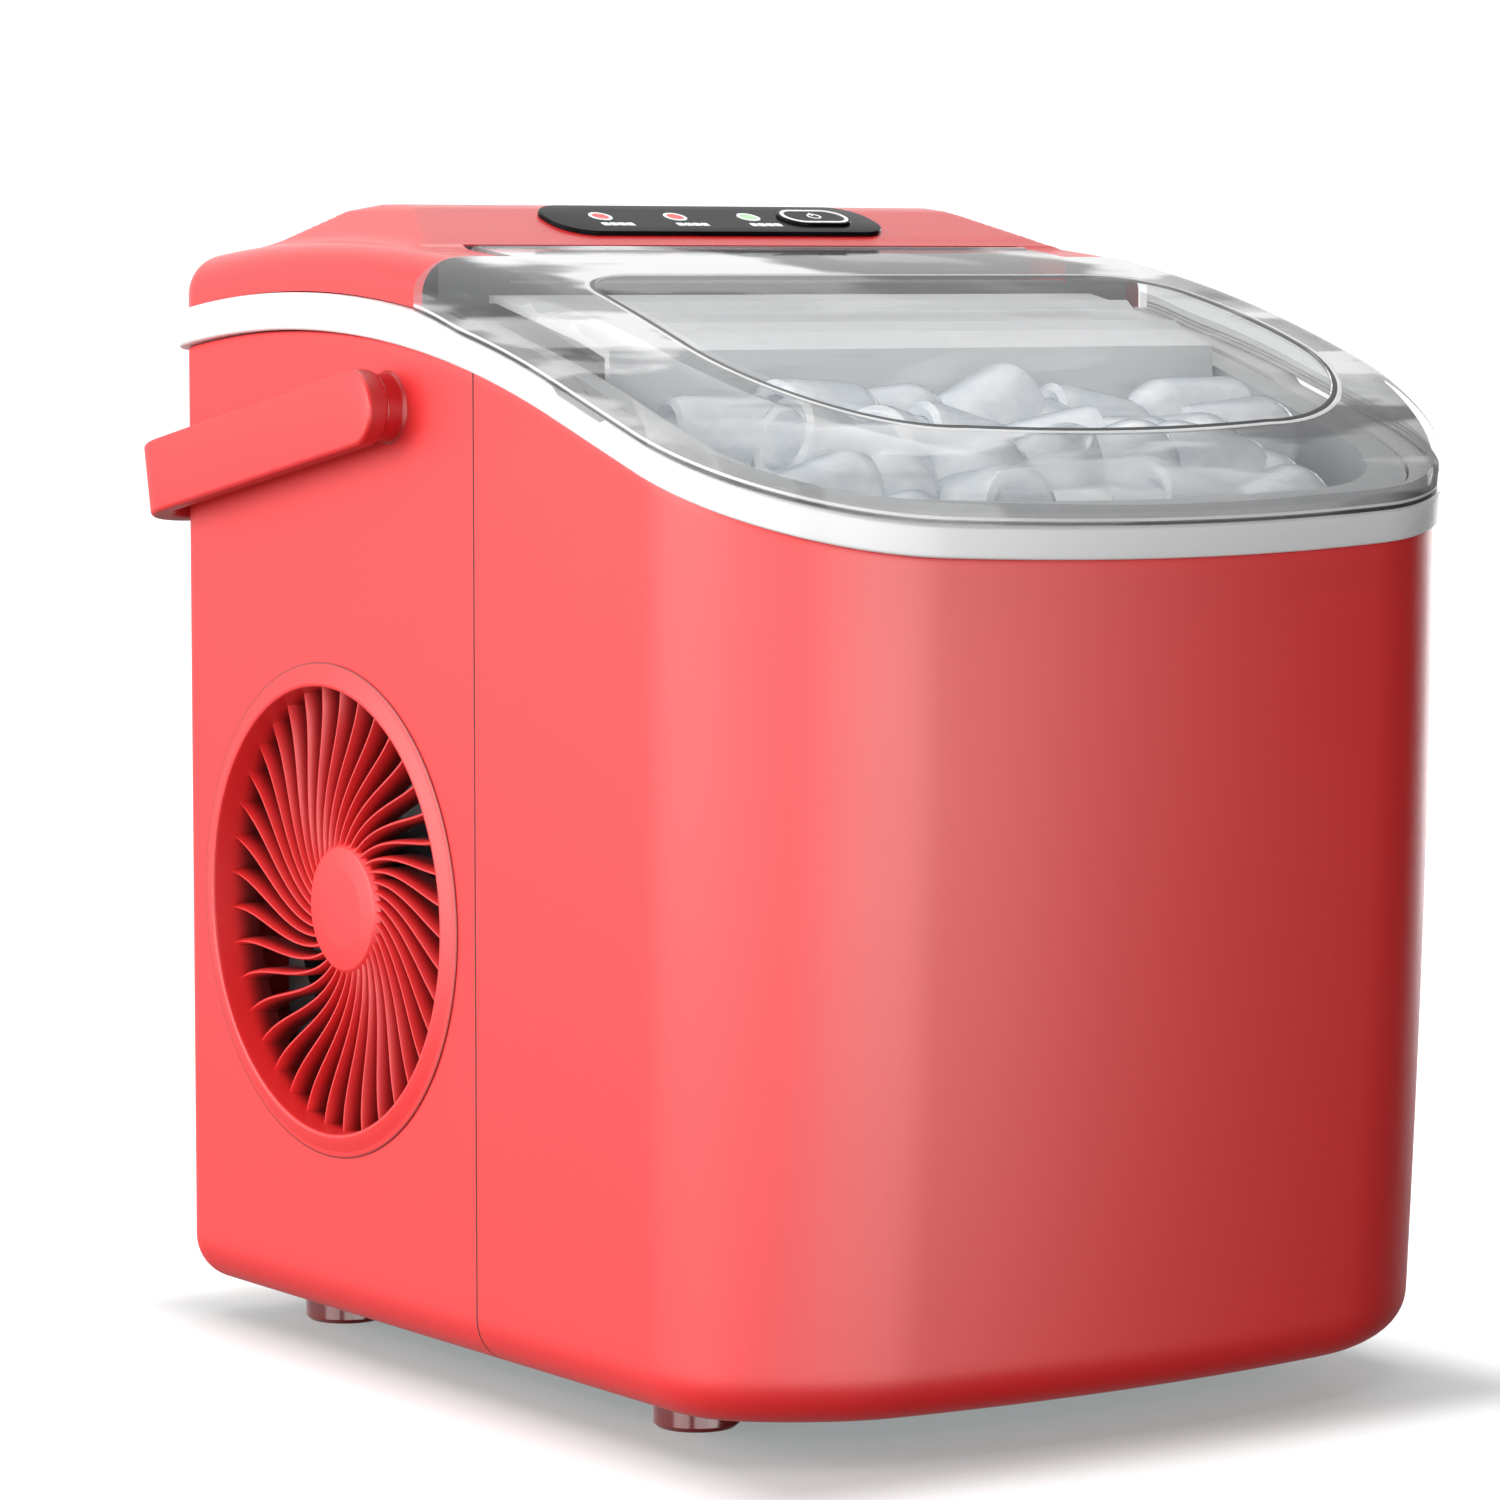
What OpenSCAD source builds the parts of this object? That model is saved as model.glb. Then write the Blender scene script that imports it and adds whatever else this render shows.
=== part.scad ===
// Countertop ice maker: rounded red casing, white S-shaped trim band, clear hinged lid,
// swing carry handle, side vents and the cooling and ice-making parts inside.
// Front is -Y, +X is the right side seen from the front, +Z is up.
// Origin: centre of the footprint, on the surface that the feet stand on.

/* [Casing] */
// Width of the casing
body_w = 222; // [214:1:230]
// Depth of the casing, front centre to back
body_d = 280.4; // [272:0.1:288]
// Gap between the casing and the surface below it
ground_gap = 9; // [8:0.5:11]
// Wall thickness of the casing mouldings
wall = 2.6; // [2:0.1:3.2]
// Radius of the bulge of the front, seen from above
bulge_r = 454; // [400:1:600]
// Angle over which the bulge runs before each front corner starts
bulge_angle = 8.2; // [7:0.1:9]
// Radius of the rear corners, seen from above
rear_corner_r = 10; // [8:1:14]
// Radius of the round along the bottom edge
bottom_r = 12; // [10:1:14]
// How far the front draws back from the trim to the bottom
lean_depth = 10.4; // [6:0.1:12]
// Depth of the front casing, from the front centre to the seam
front_shell_d = 132.1; // [125:0.1:140]

/* [Trim band] */
// Height of the lower edge of the band at its crest
crest_z = 260.2; // [258:0.1:262]
// Distance of the crest from the back of the casing
crest_back = 66.7; // [60:0.1:72]
// Radius of the arch of the band
arch_r = 378; // [360:1:400]
// Slope of the straight run of the band towards the front
front_slope = 18.5; // [17:0.1:20]
// Height of the band at the rear
band_h_rear = 9.4; // [8:0.1:10]
// Height of the band below the lid
band_h_lid = 7.8; // [7:0.1:8]
// How far the band stands out from the casing
band_out = 2.6; // [2:0.1:3]

/* [Lid] */
// Height of the lid's hinge axis
hinge_z = 277.9; // [277:0.1:279]
// Radius of the barrel along the lid's rear edge
barrel_r = 3.3; // [3:0.1:3.6]
// Wall thickness of the lid
lid_wall = 2.4; // [2:0.1:3]
// Half width of the tongue at the rear of the lid
tongue_half = 85.5; // [82:0.5:88]

/* [Handle] */
// Height of the handle's pivot
pivot_z = 241.5; // [238:0.5:244]
// Angle of the stowed handle below the horizontal
stow_angle = 11; // [10:1:12]
// Height of the handle's strap
strap_h = 19; // [17:1:20]
// Reach from the pivot to the inner face of the grip
grip_in = 114.5; // [114:0.5:117]

/* [Vents] */
// Height of the middle of each vent
vent_z = 114.1; // [110:0.1:118]
// Outer radius of the vent ring
vent_r = 62.8; // [60:0.1:64]
// Number of swirled fins in each vent
fin_count = 38; // [30:1:42]

/* [Cooling parts] */
// Radius of the compressor can
compressor_r = 46; // [42:1:48]
// Number of evaporator fingers
finger_count = 9; // [7:1:9]
// Number of condenser fins
condenser_fins = 16; // [10:1:18]

/* [Hidden] */
$fn = 64;

half_w = body_w / 2;
grip_t = 8;
strap_t = 5.7;
grip_out = grip_in + grip_t;
pivot_back = 108.5;
// The handle's reach behind the casing sets where the casing sits about the origin
handle_reach = grip_out * cos(stow_angle) + strap_h / 2 * sin(stow_angle) - pivot_back;
rear_y = (body_d + band_out - handle_reach) / 2;
front_y = rear_y - body_d;
seam_y = front_y + front_shell_d;
pivot_y = rear_y - pivot_back;
crest_y = rear_y - crest_back;
vent_y = rear_y - 77.5;
hinge_y = rear_y - 108.3;
wing_y = rear_y - 125;
gap = 0.3;

// Plan outline: a bulged front, round front corners, straight sides and small rear corners
corner_x = bulge_r * sin(bulge_angle);
corner_r = (half_w - corner_x) / (1 - sin(bulge_angle));
corner_y = front_y + bulge_r * (1 - cos(bulge_angle)) + corner_r * cos(bulge_angle);
function arc(cx, cy, r, a0, a1, n) =
    [for (i = [0:n]) let (a = a0 + (a1 - a0) * i / n) [cx + r * cos(a), cy + r * sin(a)]];
function plan(inset) = concat(
    arc(0, front_y + bulge_r, bulge_r - inset, 270 - bulge_angle, 270 + bulge_angle, 8),
    arc(half_w - corner_r, corner_y, corner_r - inset, 270 + bulge_angle, 360, 10),
    arc(half_w - rear_corner_r, rear_y - rear_corner_r, rear_corner_r - inset, 0, 90, 5),
    arc(rear_corner_r - half_w, rear_y - rear_corner_r, rear_corner_r - inset, 90, 180, 5),
    arc(corner_r - half_w, corner_y, corner_r - inset, 180, 270 - bulge_angle, 10));

// Lower edge of the trim band: an arch that runs into a straight slope
tangent_run = arch_r * sin(front_slope);
function arch_z(d, r) = sqrt(r * r - d * d) - r;
function band_z(y) = let (d = y - crest_y)
    crest_z + (d > -tangent_run ? arch_z(d, arch_r)
        : arch_z(tangent_run, arch_r) + (d + tangent_run) * tan(front_slope));
function ease(t) = let (u = max(0, min(1, t))) u * u * (3 - 2 * u);
function band_top(y) = band_z(y) + band_h_lid
    + (band_h_rear - band_h_lid) * ease((y - wing_y + 25) / 25);
profile_ys = [for (i = [0:30]) front_y - band_out + (body_d + 2 * band_out) * i / 30];

// Front face of the casing: it draws back towards the bottom on a curve
lean_top = band_z(front_y);
lean_run = lean_top - ground_gap;
function lean(z) = lean_depth * pow(max(0, lean_top - z) / lean_run, 2);

// Top of the lid: a long shallow arch that ends in a round nose
lid_arch_r = 473;
lid_crest_y = rear_y - 57.5;
lid_crest_z = 283.5;
nose_y = front_y + 21.5;
function lid_z(y) = lid_crest_z + arch_z(y - lid_crest_y, lid_arch_r);
// Shoulder of the top cover, and the raised hump that carries the control panel
shoulder_z = 282.2;
shoulder_y = rear_y - 63.5;
function shoulder(y) = shoulder_z + arch_z(y - shoulder_y, lid_arch_r);
hump_z = 292.2;
hump_y = rear_y - 104;
panel_slope = 18;
panel_foot_y = rear_y - 97.9;
panel_foot_z = 283.7;
panel_len = 23.5;
panel_w = 102;

module along_x(w) {
    translate([-w / 2, 0, 0]) rotate([90, 0, 90]) linear_extrude(w) children();
}
module along_y(y0, y1) {
    translate([0, y1, 0]) rotate([90, 0, 0]) linear_extrude(y1 - y0) children();
}
module box(x0, x1, y0, y1, z0, z1) {
    translate([x0, y0, z0]) cube([x1 - x0, y1 - y0, z1 - z0]);
}
module rod(x, y, z0, z1, r) {
    translate([x, y, z0]) cylinder(h = z1 - z0, r = r);
}
module rod_x(y, z, x0, x1, r) {
    translate([x0, y, z]) rotate([0, 90, 0]) cylinder(h = x1 - x0, r = r);
}
module rod_y(x, z, y0, y1, r) {
    translate([x, y1, z]) rotate([90, 0, 0]) cylinder(h = y1 - y0, r = r);
}
// Pipe along a list of points, with a slightly fatter ball at each bend
module pipe(points, r) {
    for (i = [0:len(points) - 2]) {
        d = points[i + 1] - points[i];
        translate(points[i])
            rotate([0, acos(d[2] / norm(d)), atan2(d[1], d[0])])
                cylinder(h = norm(d), r = r, $fn = 24);
        if (i > 0) translate(points[i]) sphere(r = r * 1.12, $fn = 24);
    }
}

// Space inside the casing's outline at a given inset, from the bottom up to the height of its rim
module casing_space(inset, rim) {
    b = bottom_r - inset;
    zb = ground_gap + inset;
    yb = front_y + lean(zb + b) + inset;
    intersection() {
        translate([0, 0, zb]) linear_extrude(300) polygon(plan(inset));
        along_x(body_w) polygon(concat(
            [for (i = [0:10]) let (z = zb + b + (lean_top - zb - b) * i / 10)
                [front_y + lean(z) + inset, z]],
            [for (y = profile_ys) if (y > front_y + 3) [y, band_z(y) + rim]],
            arc(rear_y - inset - b, zb + b, b, 0, -90, 5),
            arc(yb + b, zb + b, b, 270, 180, 5)));
        along_y(front_y, rear_y) polygon(concat(
            [[half_w - inset, 300], [inset - half_w, 300]],
            arc(inset - half_w + b, zb + b, b, 180, 270, 5),
            arc(half_w - inset - b, zb + b, b, 270, 360, 5)));
    }
}
base_half = 90;
base_front = front_y + 38;
base_rear = rear_y - 20;
module casing() {
    difference() {
        casing_space(0, -gap);
        casing_space(wall, 4);
        box(-base_half, base_half, base_front, base_rear, 0, 40);
    }
}
drain_y = seam_y - 36;
drain_z = 24;
drain_bore = 5;
module front_shell() {
    color("crimson") difference() {
        casing();
        box(-150, 150, seam_y - gap / 2, 200, 0, 300);
        rod_x(drain_y, drain_z, half_w - 8, half_w + 2, 11);
    }
}
screw_xs = [-92, 92];
screw_zs = [30, 140, 236];
gland_x = -62;
gland_z = 34;
module rear_shell() {
    color("crimson") difference() {
        casing();
        box(-150, 150, -200, seam_y + gap / 2, 0, 300);
        rod_x(vent_y, vent_z, -150, 150, vent_tube_r + gap);
        rod_x(pivot_y, pivot_z, -150, 150, 3);
        rod_y(gland_x, gland_z, rear_y - 6, rear_y + 2, 9);
        for (x = screw_xs, z = screw_zs) rod_y(x, z, rear_y - 6, rear_y + 2, 1.8);
    }
}
module casing_screws() {
    color("gray") for (x = screw_xs, z = screw_zs) difference() {
        union() {
            rod_y(x, z, rear_y - 11, rear_y + 0.5, 1.75);
            rod_y(x, z, rear_y + 0.02, rear_y + 1.8, 3.6);
        }
        for (a = [0, 90]) translate([x, rear_y + 1.8, z]) rotate([0, a, 0])
            cube([4.4, 1.8, 0.9], center = true);
    }
}
module base_pan() {
    color("dimgray") difference() {
        intersection() {
            translate([0, lean_depth, ground_gap + wall]) linear_extrude(2.2) polygon(plan(13));
            box(-half_w, half_w, -200, rear_y - 13, 0, 40);
        }
        for (x = [-60:12:60]) box(x - 2, x + 2, rear_y - 110, rear_y - 60, 0, 40);
    }
}
foot_x = 81;
foot_front_y = front_y + 81;
foot_rear_y = rear_y - 34;
module foot(x, y) {
    color("darkred") translate([x, y, 0]) rotate_extrude() polygon([[0, 0], [9.6, 0], [10.6, 1],
        [10.6, 7], [9.4, 8.5], [5, 8.5], [5, ground_gap + wall], [0, ground_gap + wall]]);
}
module foot_front_left() { foot(-foot_x, foot_front_y); }
module foot_front_right() { foot(foot_x, foot_front_y); }
module foot_rear_left() { foot(-foot_x, foot_rear_y); }
module foot_rear_right() { foot(foot_x, foot_rear_y); }

// White band all round the casing; it carries the top cover, the lid and the liner's rim
band_in = 6;
notch_front = wing_y - 84;
notch_rear = wing_y - 62;
module trim_band() {
    color("white") intersection() {
        linear_extrude(300) difference() {
            polygon(plan(-band_out));
            polygon(plan(band_in));
        }
        along_x(body_w + 20) difference() {
            polygon(concat([for (y = profile_ys) [y, band_top(y)]],
                [for (i = [len(profile_ys) - 1:-1:0]) [profile_ys[i], band_z(profile_ys[i])]]));
            // Finger notch below the lid's edge
            polygon([for (p = [[notch_front, 0], [notch_front - 1.5, 9], [notch_rear + 1.5, 9],
                [notch_rear, 0]]) [p[0], band_top(p[0]) - 1.5 + p[1]]]);
        }
    }
}

// Red rear cover: an arched shell with a flat-topped hump whose front slope holds the panel
cover_round = 9;
cover_rear_r = 15;
module cover_space(inset) {
    side_r = cover_round - inset;
    back_r = cover_rear_r - inset;
    start = wing_y - (inset > 0 ? 1 : 0);
    cover_y = [for (i = [0:9]) start + (body_d / 2 - 26) * i / 9];
    intersection() {
        translate([0, 0, 200]) linear_extrude(120) polygon(plan(inset));
        along_x(body_w) polygon(concat(
            [for (y = cover_y) if (y < rear_y - 16) [y, shoulder(y) - inset]],
            arc(rear_y - inset - back_r, shoulder(rear_y - 15) - inset - back_r, back_r, 86, 0, 7),
            [for (i = [7:-1:0]) let (y = start + (rear_y - inset - start) * i / 7)
                [y, band_top(y) + gap - (inset > 0 ? 1 : 0)]]));
        along_y(wing_y - 2, rear_y) polygon(concat([[inset - half_w, 200], [half_w - inset, 200]],
            arc(half_w - inset - side_r, shoulder_z - inset - side_r, side_r, 0, 90, 6),
            arc(inset - half_w + side_r, shoulder_z - inset - side_r, side_r, 90, 180, 6)));
    }
}
module hump_space(inset) {
    foot = 262 + inset;
    intersection() {
        along_x(body_w - 24) polygon([[hump_y + inset, foot],
            [hump_y + inset, panel_foot_z - 2.4 - inset],
            [panel_foot_y + inset * 0.3, panel_foot_z - inset],
            [panel_foot_y + panel_len * cos(panel_slope) + inset * 0.3,
                panel_foot_z + panel_len * sin(panel_slope) - inset],
            [rear_y - 69, hump_z - inset], [rear_y - 58, hump_z - inset],
            [rear_y - 46, hump_z - 1.6 - inset], [rear_y - 22, shoulder_z - 3 - inset],
            [rear_y - 22, foot]]);
        along_y(hump_y, rear_y - 10) polygon([[-99 + inset, foot], [-99 + inset, 281.4 - inset],
            [-86 + inset, hump_z - 2 - inset], [-82 + inset, hump_z - inset],
            [82 - inset, hump_z - inset], [86 - inset, hump_z - 2 - inset],
            [99 - inset, 281.4 - inset], [99 - inset, foot]]);
    }
}
pin_r = 1.6;
module top_cover() {
    color("crimson") difference() {
        union() {
            difference() {
                cover_space(0);
                cover_space(wall);
            }
            difference() {
                hump_space(0);
                hump_space(wall);
                cover_space(wall);
            }
        }
        // Room for the tongue and the barrel of the lid
        box(-tongue_half - 1, tongue_half + 1, wing_y - 2, hump_y, 240, 300);
        rod_x(hinge_y, hinge_z, -tongue_half - 1, tongue_half + 1, barrel_r + 0.7);
        rod_x(hinge_y, hinge_z, -100, 100, pin_r);
        // Window of the control panel and the opening under the hump
        panel_place() translate([-panel_w / 2 + 6, 3, -6]) cube([panel_w - 12, panel_len - 6, 12]);
        box(-84, 84, hump_y + wall, rear_y - 44, 270, 283.5);
    }
    color("crimson") for (s = [-1, 1]) difference() {
        translate([s * (tongue_half + 4), 0, 0])
            box(-2.8, 2.8, hinge_y - 5, hinge_y + 5, hinge_z - 7, hinge_z + 0.3);
        rod_x(hinge_y, hinge_z, -100, 100, pin_r);
    }
}
// Frame of the control panel: x across, y up the slope, z out of it
module panel_place() {
    translate([0, panel_foot_y, panel_foot_z]) rotate([panel_slope, 0, 0]) children();
}
module rounded(w, h, r) {
    hull() for (x = [r, w - r], y = [r, h - r]) translate([x, y]) circle(r = r, $fn = 32);
}
key_x = 32;
light_xs = [-34, -11, 12];
module control_panel() {
    color("black") panel_place() difference() {
        translate([-panel_w / 2, 0.6, 0.05]) linear_extrude(1.2) rounded(panel_w, panel_len - 1.2, 9);
        translate([key_x, panel_len / 2, -1]) linear_extrude(4) key_outline(0.25);
        for (x = light_xs) translate([x, panel_len / 2 + 2.5, -1]) cylinder(h = 4, r = 2.6);
    }
}
module key_outline(grow) {
    hull() for (x = [-5, 5]) translate([x, 0]) circle(r = 6 + grow, $fn = 40);
}
module indicator_lights() {
    color("lightpink") for (x = light_xs) panel_place()
        translate([x, panel_len / 2 + 2.5, 0.1]) cylinder(h = 1.3, r = 2.4);
}
module power_button() {
    color("black") panel_place() translate([key_x, panel_len / 2, -0.5]) linear_extrude(2.15)
        key_outline(0);
}
module control_board() {
    color("darkgreen") panel_place() translate([-48, 3.5, -5]) cube([96, panel_len - 7, 1.6]);
    color("dimgray") panel_place() translate([key_x - 3, panel_len / 2 - 3, -3.4]) cube([6, 6, 2.2]);
    color("black") panel_place() translate([-40, 7, -7.5]) cube([24, 9, 2.5]);
}

// Clear lid: arched top, round nose, side skirts and a rear tongue with the hinge barrel
module lid_profile(inset) {
    r = 20 - inset;
    lid_ys = [for (i = [0:14]) nose_y + (hinge_y - nose_y) * i / 14];
    polygon(concat(
        [[front_y - band_out + inset, band_top(front_y) + (inset > 0 ? -3 : gap)]],
        [for (a = [180:-15:105]) [front_y - band_out + 20 + r * cos(a), lid_z(nose_y) - 20.5 + r * sin(a)]],
        [for (y = lid_ys) [y, lid_z(y) - inset]],
        [for (i = [16:-1:1]) let (y = front_y + (hinge_y - front_y) * i / 16)
            [y, band_top(y) + (inset > 0 ? -3 : gap)]]));
}
module lid_space(inset) {
    intersection() {
        translate([0, 0, 190]) linear_extrude(110) polygon(plan(-band_out + inset));
        along_x(body_w + 20) lid_profile(inset);
    }
}
module lid() {
    color("silver", 0.5) difference() {
        union() {
            difference() {
                lid_space(0);
                lid_space(lid_wall);
                for (s = [-1, 1]) translate([s * (tongue_half + 50), 0, 0])
                    box(-50, 50, wing_y - gap, 200, 200, 320);
                // Under the tongue only the top wall runs back to the barrel
                box(-150, 150, wing_y - lid_wall - 1, 200, 200, hinge_z - 2.6);
            }
            rod_x(hinge_y, hinge_z, -tongue_half, tongue_half, barrel_r);
        }
        rod_x(hinge_y, hinge_z, -100, 100, pin_r + 0.05);
        translate([0, 0, 0.01]) window_space(1.6, 3);
    }
}
// Raised window of the lid, set in from its sides and its front
window_half = 92;
window_front = front_y + 20.6;
window_rear = wing_y - 28.5;
module window_space(depth, rise) {
    intersection() {
        translate([0, 0, 190]) linear_extrude(110) offset(r = 24) offset(delta = -24)
            intersection() {
                polygon(plan(15));
                translate([-window_half, window_front])
                    square([2 * window_half, window_rear - window_front]);
            }
        along_x(body_w) polygon(concat(
            [for (i = [0:10]) let (y = window_front + (window_rear - window_front) * i / 10)
                [y, lid_z(y) + rise]],
            [for (i = [10:-1:0]) let (y = window_front + (window_rear - window_front) * i / 10)
                [y, lid_z(y) - depth]]));
    }
}
module lid_window() {
    color("white", 0.4) window_space(1.55, 0.9);
}
module lid_hinge_pins() {
    color("gray") for (s = [-1, 1]) translate([s * (tongue_half - 0.5), 0, 0])
        rod_x(hinge_y, hinge_z, -7, 7, pin_r);
}

// Round vent with swirled fins, the same moulding on both sides; z points out of the casing
vent_tube_r = 59.2;
lip_r = 56.6;
lip_out = 1.8;
fin_depth = 8;
function fin_edge(side, n) = [for (i = [0:n]) let (
        r = 13 + (lip_r + 1 - 13) * i / n,
        a = 68.75 * pow(1 - min(1, r / lip_r), 2) + side * (0.8 + 0.3 * i / n) / r * 57.3)
    [r * cos(a), r * sin(a)]];
module vent_grille() {
    color("crimson") {
        rotate_extrude($fn = 96) polygon([[lip_r, -12], [lip_r, lip_out - 0.6], [lip_r + 0.6, lip_out],
            [lip_r + 1.6, lip_out], [vent_r, 0.35], [vent_r, 0], [vent_tube_r, 0], [vent_tube_r, -12]]);
        translate([0, 0, -12]) linear_extrude(fin_depth) offset(delta = 0.01) union() {
            circle(r = 15);
            difference() {
                circle(r = vent_tube_r - 0.5);
                circle(r = lip_r - 0.2);
            }
            for (k = [0:fin_count - 1]) rotate(k * 360 / fin_count) {
                front_edge = fin_edge(-1, 8);
                back_edge = fin_edge(1, 8);
                polygon(concat(front_edge, [for (i = [8:-1:0]) back_edge[i]]));
            }
        }
    }
}
module left_vent_grille() { translate([-half_w, vent_y, vent_z]) rotate([0, -90, 0]) vent_grille(); }
module right_vent_grille() { translate([half_w, vent_y, vent_z]) rotate([0, 90, 0]) vent_grille(); }

// Carry handle: a U strap that swings on a boss at each side and rests sloping down to the rear
boss_r = 8.2;
boss_out = 5.2;
strap_end_r = strap_h / 2;
module handle_pivot() {
    color("crimson") {
        rod_x(pivot_y, pivot_z, half_w, half_w + boss_out, boss_r);
        rod_x(pivot_y, pivot_z, half_w - 6, half_w + boss_out + 4.2, 2.9);
        rod_x(pivot_y, pivot_z, half_w - 6, half_w - wall - 0.1, 6);
    }
}
module left_handle_pivot() { mirror([1, 0, 0]) handle_pivot(); }
module right_handle_pivot() { handle_pivot(); }
strap_in = half_w + boss_out + gap;
strap_outer = strap_in + strap_t - 0.2;
grip_corner_r = 22;
module carry_handle() {
    color("crimson") translate([0, pivot_y, pivot_z]) rotate([-stow_angle, 0, 0]) difference() {
        union() {
            translate([0, 0, -strap_end_r]) linear_extrude(strap_h) difference() {
                union() {
                    translate([-strap_outer, 0]) square([2 * strap_outer, grip_out - grip_corner_r]);
                    translate([grip_corner_r - strap_outer, 0])
                        square([2 * (strap_outer - grip_corner_r), grip_out]);
                    for (s = [-1, 1])
                        translate([s * (strap_outer - grip_corner_r), grip_out - grip_corner_r])
                            circle(r = grip_corner_r);
                }
                translate([-strap_in, -1]) square([2 * strap_in, grip_in - 13]);
                translate([14 - strap_in, 0]) square([2 * (strap_in - 14), grip_in]);
                for (s = [-1, 1]) translate([s * (strap_in - 14), grip_in - 14]) circle(r = 14);
            }
            for (s = [-1, 1]) rod_x(0, 0, s > 0 ? strap_in : -strap_outer,
                s > 0 ? strap_outer : -strap_in, strap_end_r);
        }
        rod_x(0, 0, -strap_in - 4.4, strap_in + 4.4, 2.95);
    }
}

// Liner of the ice chamber: an insulated tub with a rim inside the trim band
liner_inset = 14;
liner_wall = 2.2;
liner_rear = wing_y - 5.5;
liner_floor = 62;
module liner_space(inset, floor_z, rear, rim) {
    intersection() {
        translate([0, 0, floor_z]) linear_extrude(260) polygon(plan(liner_inset + inset));
        along_x(body_w) polygon(concat([[rear, floor_z], [front_y, floor_z]],
            [for (y = profile_ys) if (y < rear - 4) [y, band_top(y) + rim]],
            [[rear, band_top(rear) + rim]]));
    }
}
tube_x = 58;
tube_z = 196;
module inner_liner() {
    color("gainsboro") difference() {
        union() {
            liner_space(0, liner_floor, liner_rear, -3);
            difference() {
                liner_space(-7.6, 180, liner_rear, -1);
                liner_space(-7.7, 180, liner_rear + 1, -3);
            }
        }
        difference() {
            liner_space(liner_wall, liner_floor + liner_wall, liner_rear - liner_wall, 8);
            basket_ledges();
        }
        for (x = [-tube_x, tube_x]) rod_y(x, tube_z, liner_rear - 10, liner_rear + 10, 3.6);
        rod(drain_x, drain_y, liner_floor - 5, liner_floor + 5, drain_bore + 3.2);
    }
}
module insulation() {
    color("lightyellow") translate([0, 0, liner_floor + 8]) linear_extrude(126) difference() {
        intersection() {
            polygon(plan(wall + 0.6));
            translate([0, lean_depth / 2]) polygon(plan(wall + 0.6));
            translate([-150, -200]) square([300, 194 + seam_y]);
        }
        polygon(plan(liner_inset - 0.5));
    }
}
drain_x = 74;
module drain_fitting() {
    color("white") difference() {
        union() {
            rod(drain_x, drain_y, drain_z, liner_floor - 0.1, drain_bore + 3);
            rod(drain_x, drain_y, liner_floor - 0.2, liner_floor + 2, drain_bore + 2.9);
            rod_x(drain_y, drain_z, drain_x - 8, half_w + 0.4, drain_bore + 3);
        }
        rod(drain_x, drain_y, drain_z, liner_floor + 10, drain_bore);
        rod_x(drain_y, drain_z, drain_x, half_w + 5, drain_bore + 0.1);
    }
}
module drain_plug() {
    color("crimson") difference() {
        union() {
            rod_x(drain_y, drain_z, half_w - 14, half_w + 1, drain_bore);
            rod_x(drain_y, drain_z, half_w + 0.7, half_w + 4.2, 10);
        }
        for (s = [-1, 1]) translate([half_w + 4.2, drain_y + s * 6.5, drain_z])
            cube([4, 5, 24], center = true);
    }
}

// Ice basket: a slotted bin at the front of the chamber, hung in the liner
basket_inset = 18.6;
basket_rear = front_y + 79;
basket_floor = 116;
basket_back = 150;
module basket_space(inset, floor_z, rim) {
    intersection() {
        translate([0, 0, floor_z]) linear_extrude(200) polygon(plan(basket_inset + inset));
        along_x(body_w) polygon([[front_y, floor_z], [basket_rear - inset, floor_z],
            [basket_rear - inset, basket_back + rim + 6], [basket_rear - 14, basket_back + rim + 6],
            [basket_rear - 30, band_z(front_y) + rim + 5], [front_y, band_z(front_y) + rim]]);
    }
}
module ice_basket() {
    color("whitesmoke") difference() {
        basket_space(0, basket_floor, -6);
        basket_space(2, basket_floor + 2, 5);
        for (x = [-66:12:66]) box(x - 2.5, x + 2.5, front_y + 34, basket_rear - 12, 100, 130);
        for (x = [-66:12:66]) box(x - 2.5, x + 2.5, basket_rear - 8, basket_rear + 8, 124, 142);
    }
}
// Ledges moulded into the liner's sides; the basket stands on them
module basket_ledges() {
    for (s = [-1, 1]) translate([s * 94, 0, 0])
        box(-6, 6, front_y + 54, basket_rear - 6, basket_floor - 6, basket_floor - 0.05);
}

// Evaporator: a header with fingers that dip into the water tray
finger_y = wing_y - 42;
finger_pitch = 14;
finger_r = 4.5;
module evaporator() {
    color("silver") {
        rod_x(finger_y, tube_z, -66, 66, 5);
        for (i = [0:finger_count - 1]) let (x = (i - (finger_count - 1) / 2) * finger_pitch) {
            rod(x, finger_y, 162, tube_z, finger_r);
            translate([x, finger_y, 162]) sphere(r = finger_r, $fn = 32);
        }
        for (x = [-tube_x, tube_x]) rod_y(x, tube_z, finger_y, liner_rear + 12, 3);
    }
}
tray_axis_y = wing_y - 28;
tray_axis_z = 176;
tray_half = 72;
module evaporator_bracket() {
    top = tube_z + 7.4;
    color("lightgray") difference() {
        union() {
            box(-94.7, 94.7, finger_y - 10, finger_y + 10, top - 2.2, top);
            box(-88, -85.6, shovel_y - 5, tray_axis_y + 8, 168, top);
            box(85.6, 88, shovel_y - 5, tray_axis_y + 8, top - 6, top);
            box(85.6, 88, shovel_y - 5, shovel_y + 5, 172, top);
            rod_x(tray_axis_y, tray_axis_z, -88, -78, 6);
            for (s = [-1, 1]) {
                translate([s * 77.5, 0, 0]) rod_x(shovel_y, shovel_z, -10, 10, 1.3);
                translate([s * 81.5, 0, 0]) rod_x(shovel_y, shovel_z, -6, 6, 4);
            }
        }
        rod_x(tray_axis_y, tray_axis_z, -100, -70, 3.06);
    }
}
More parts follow.
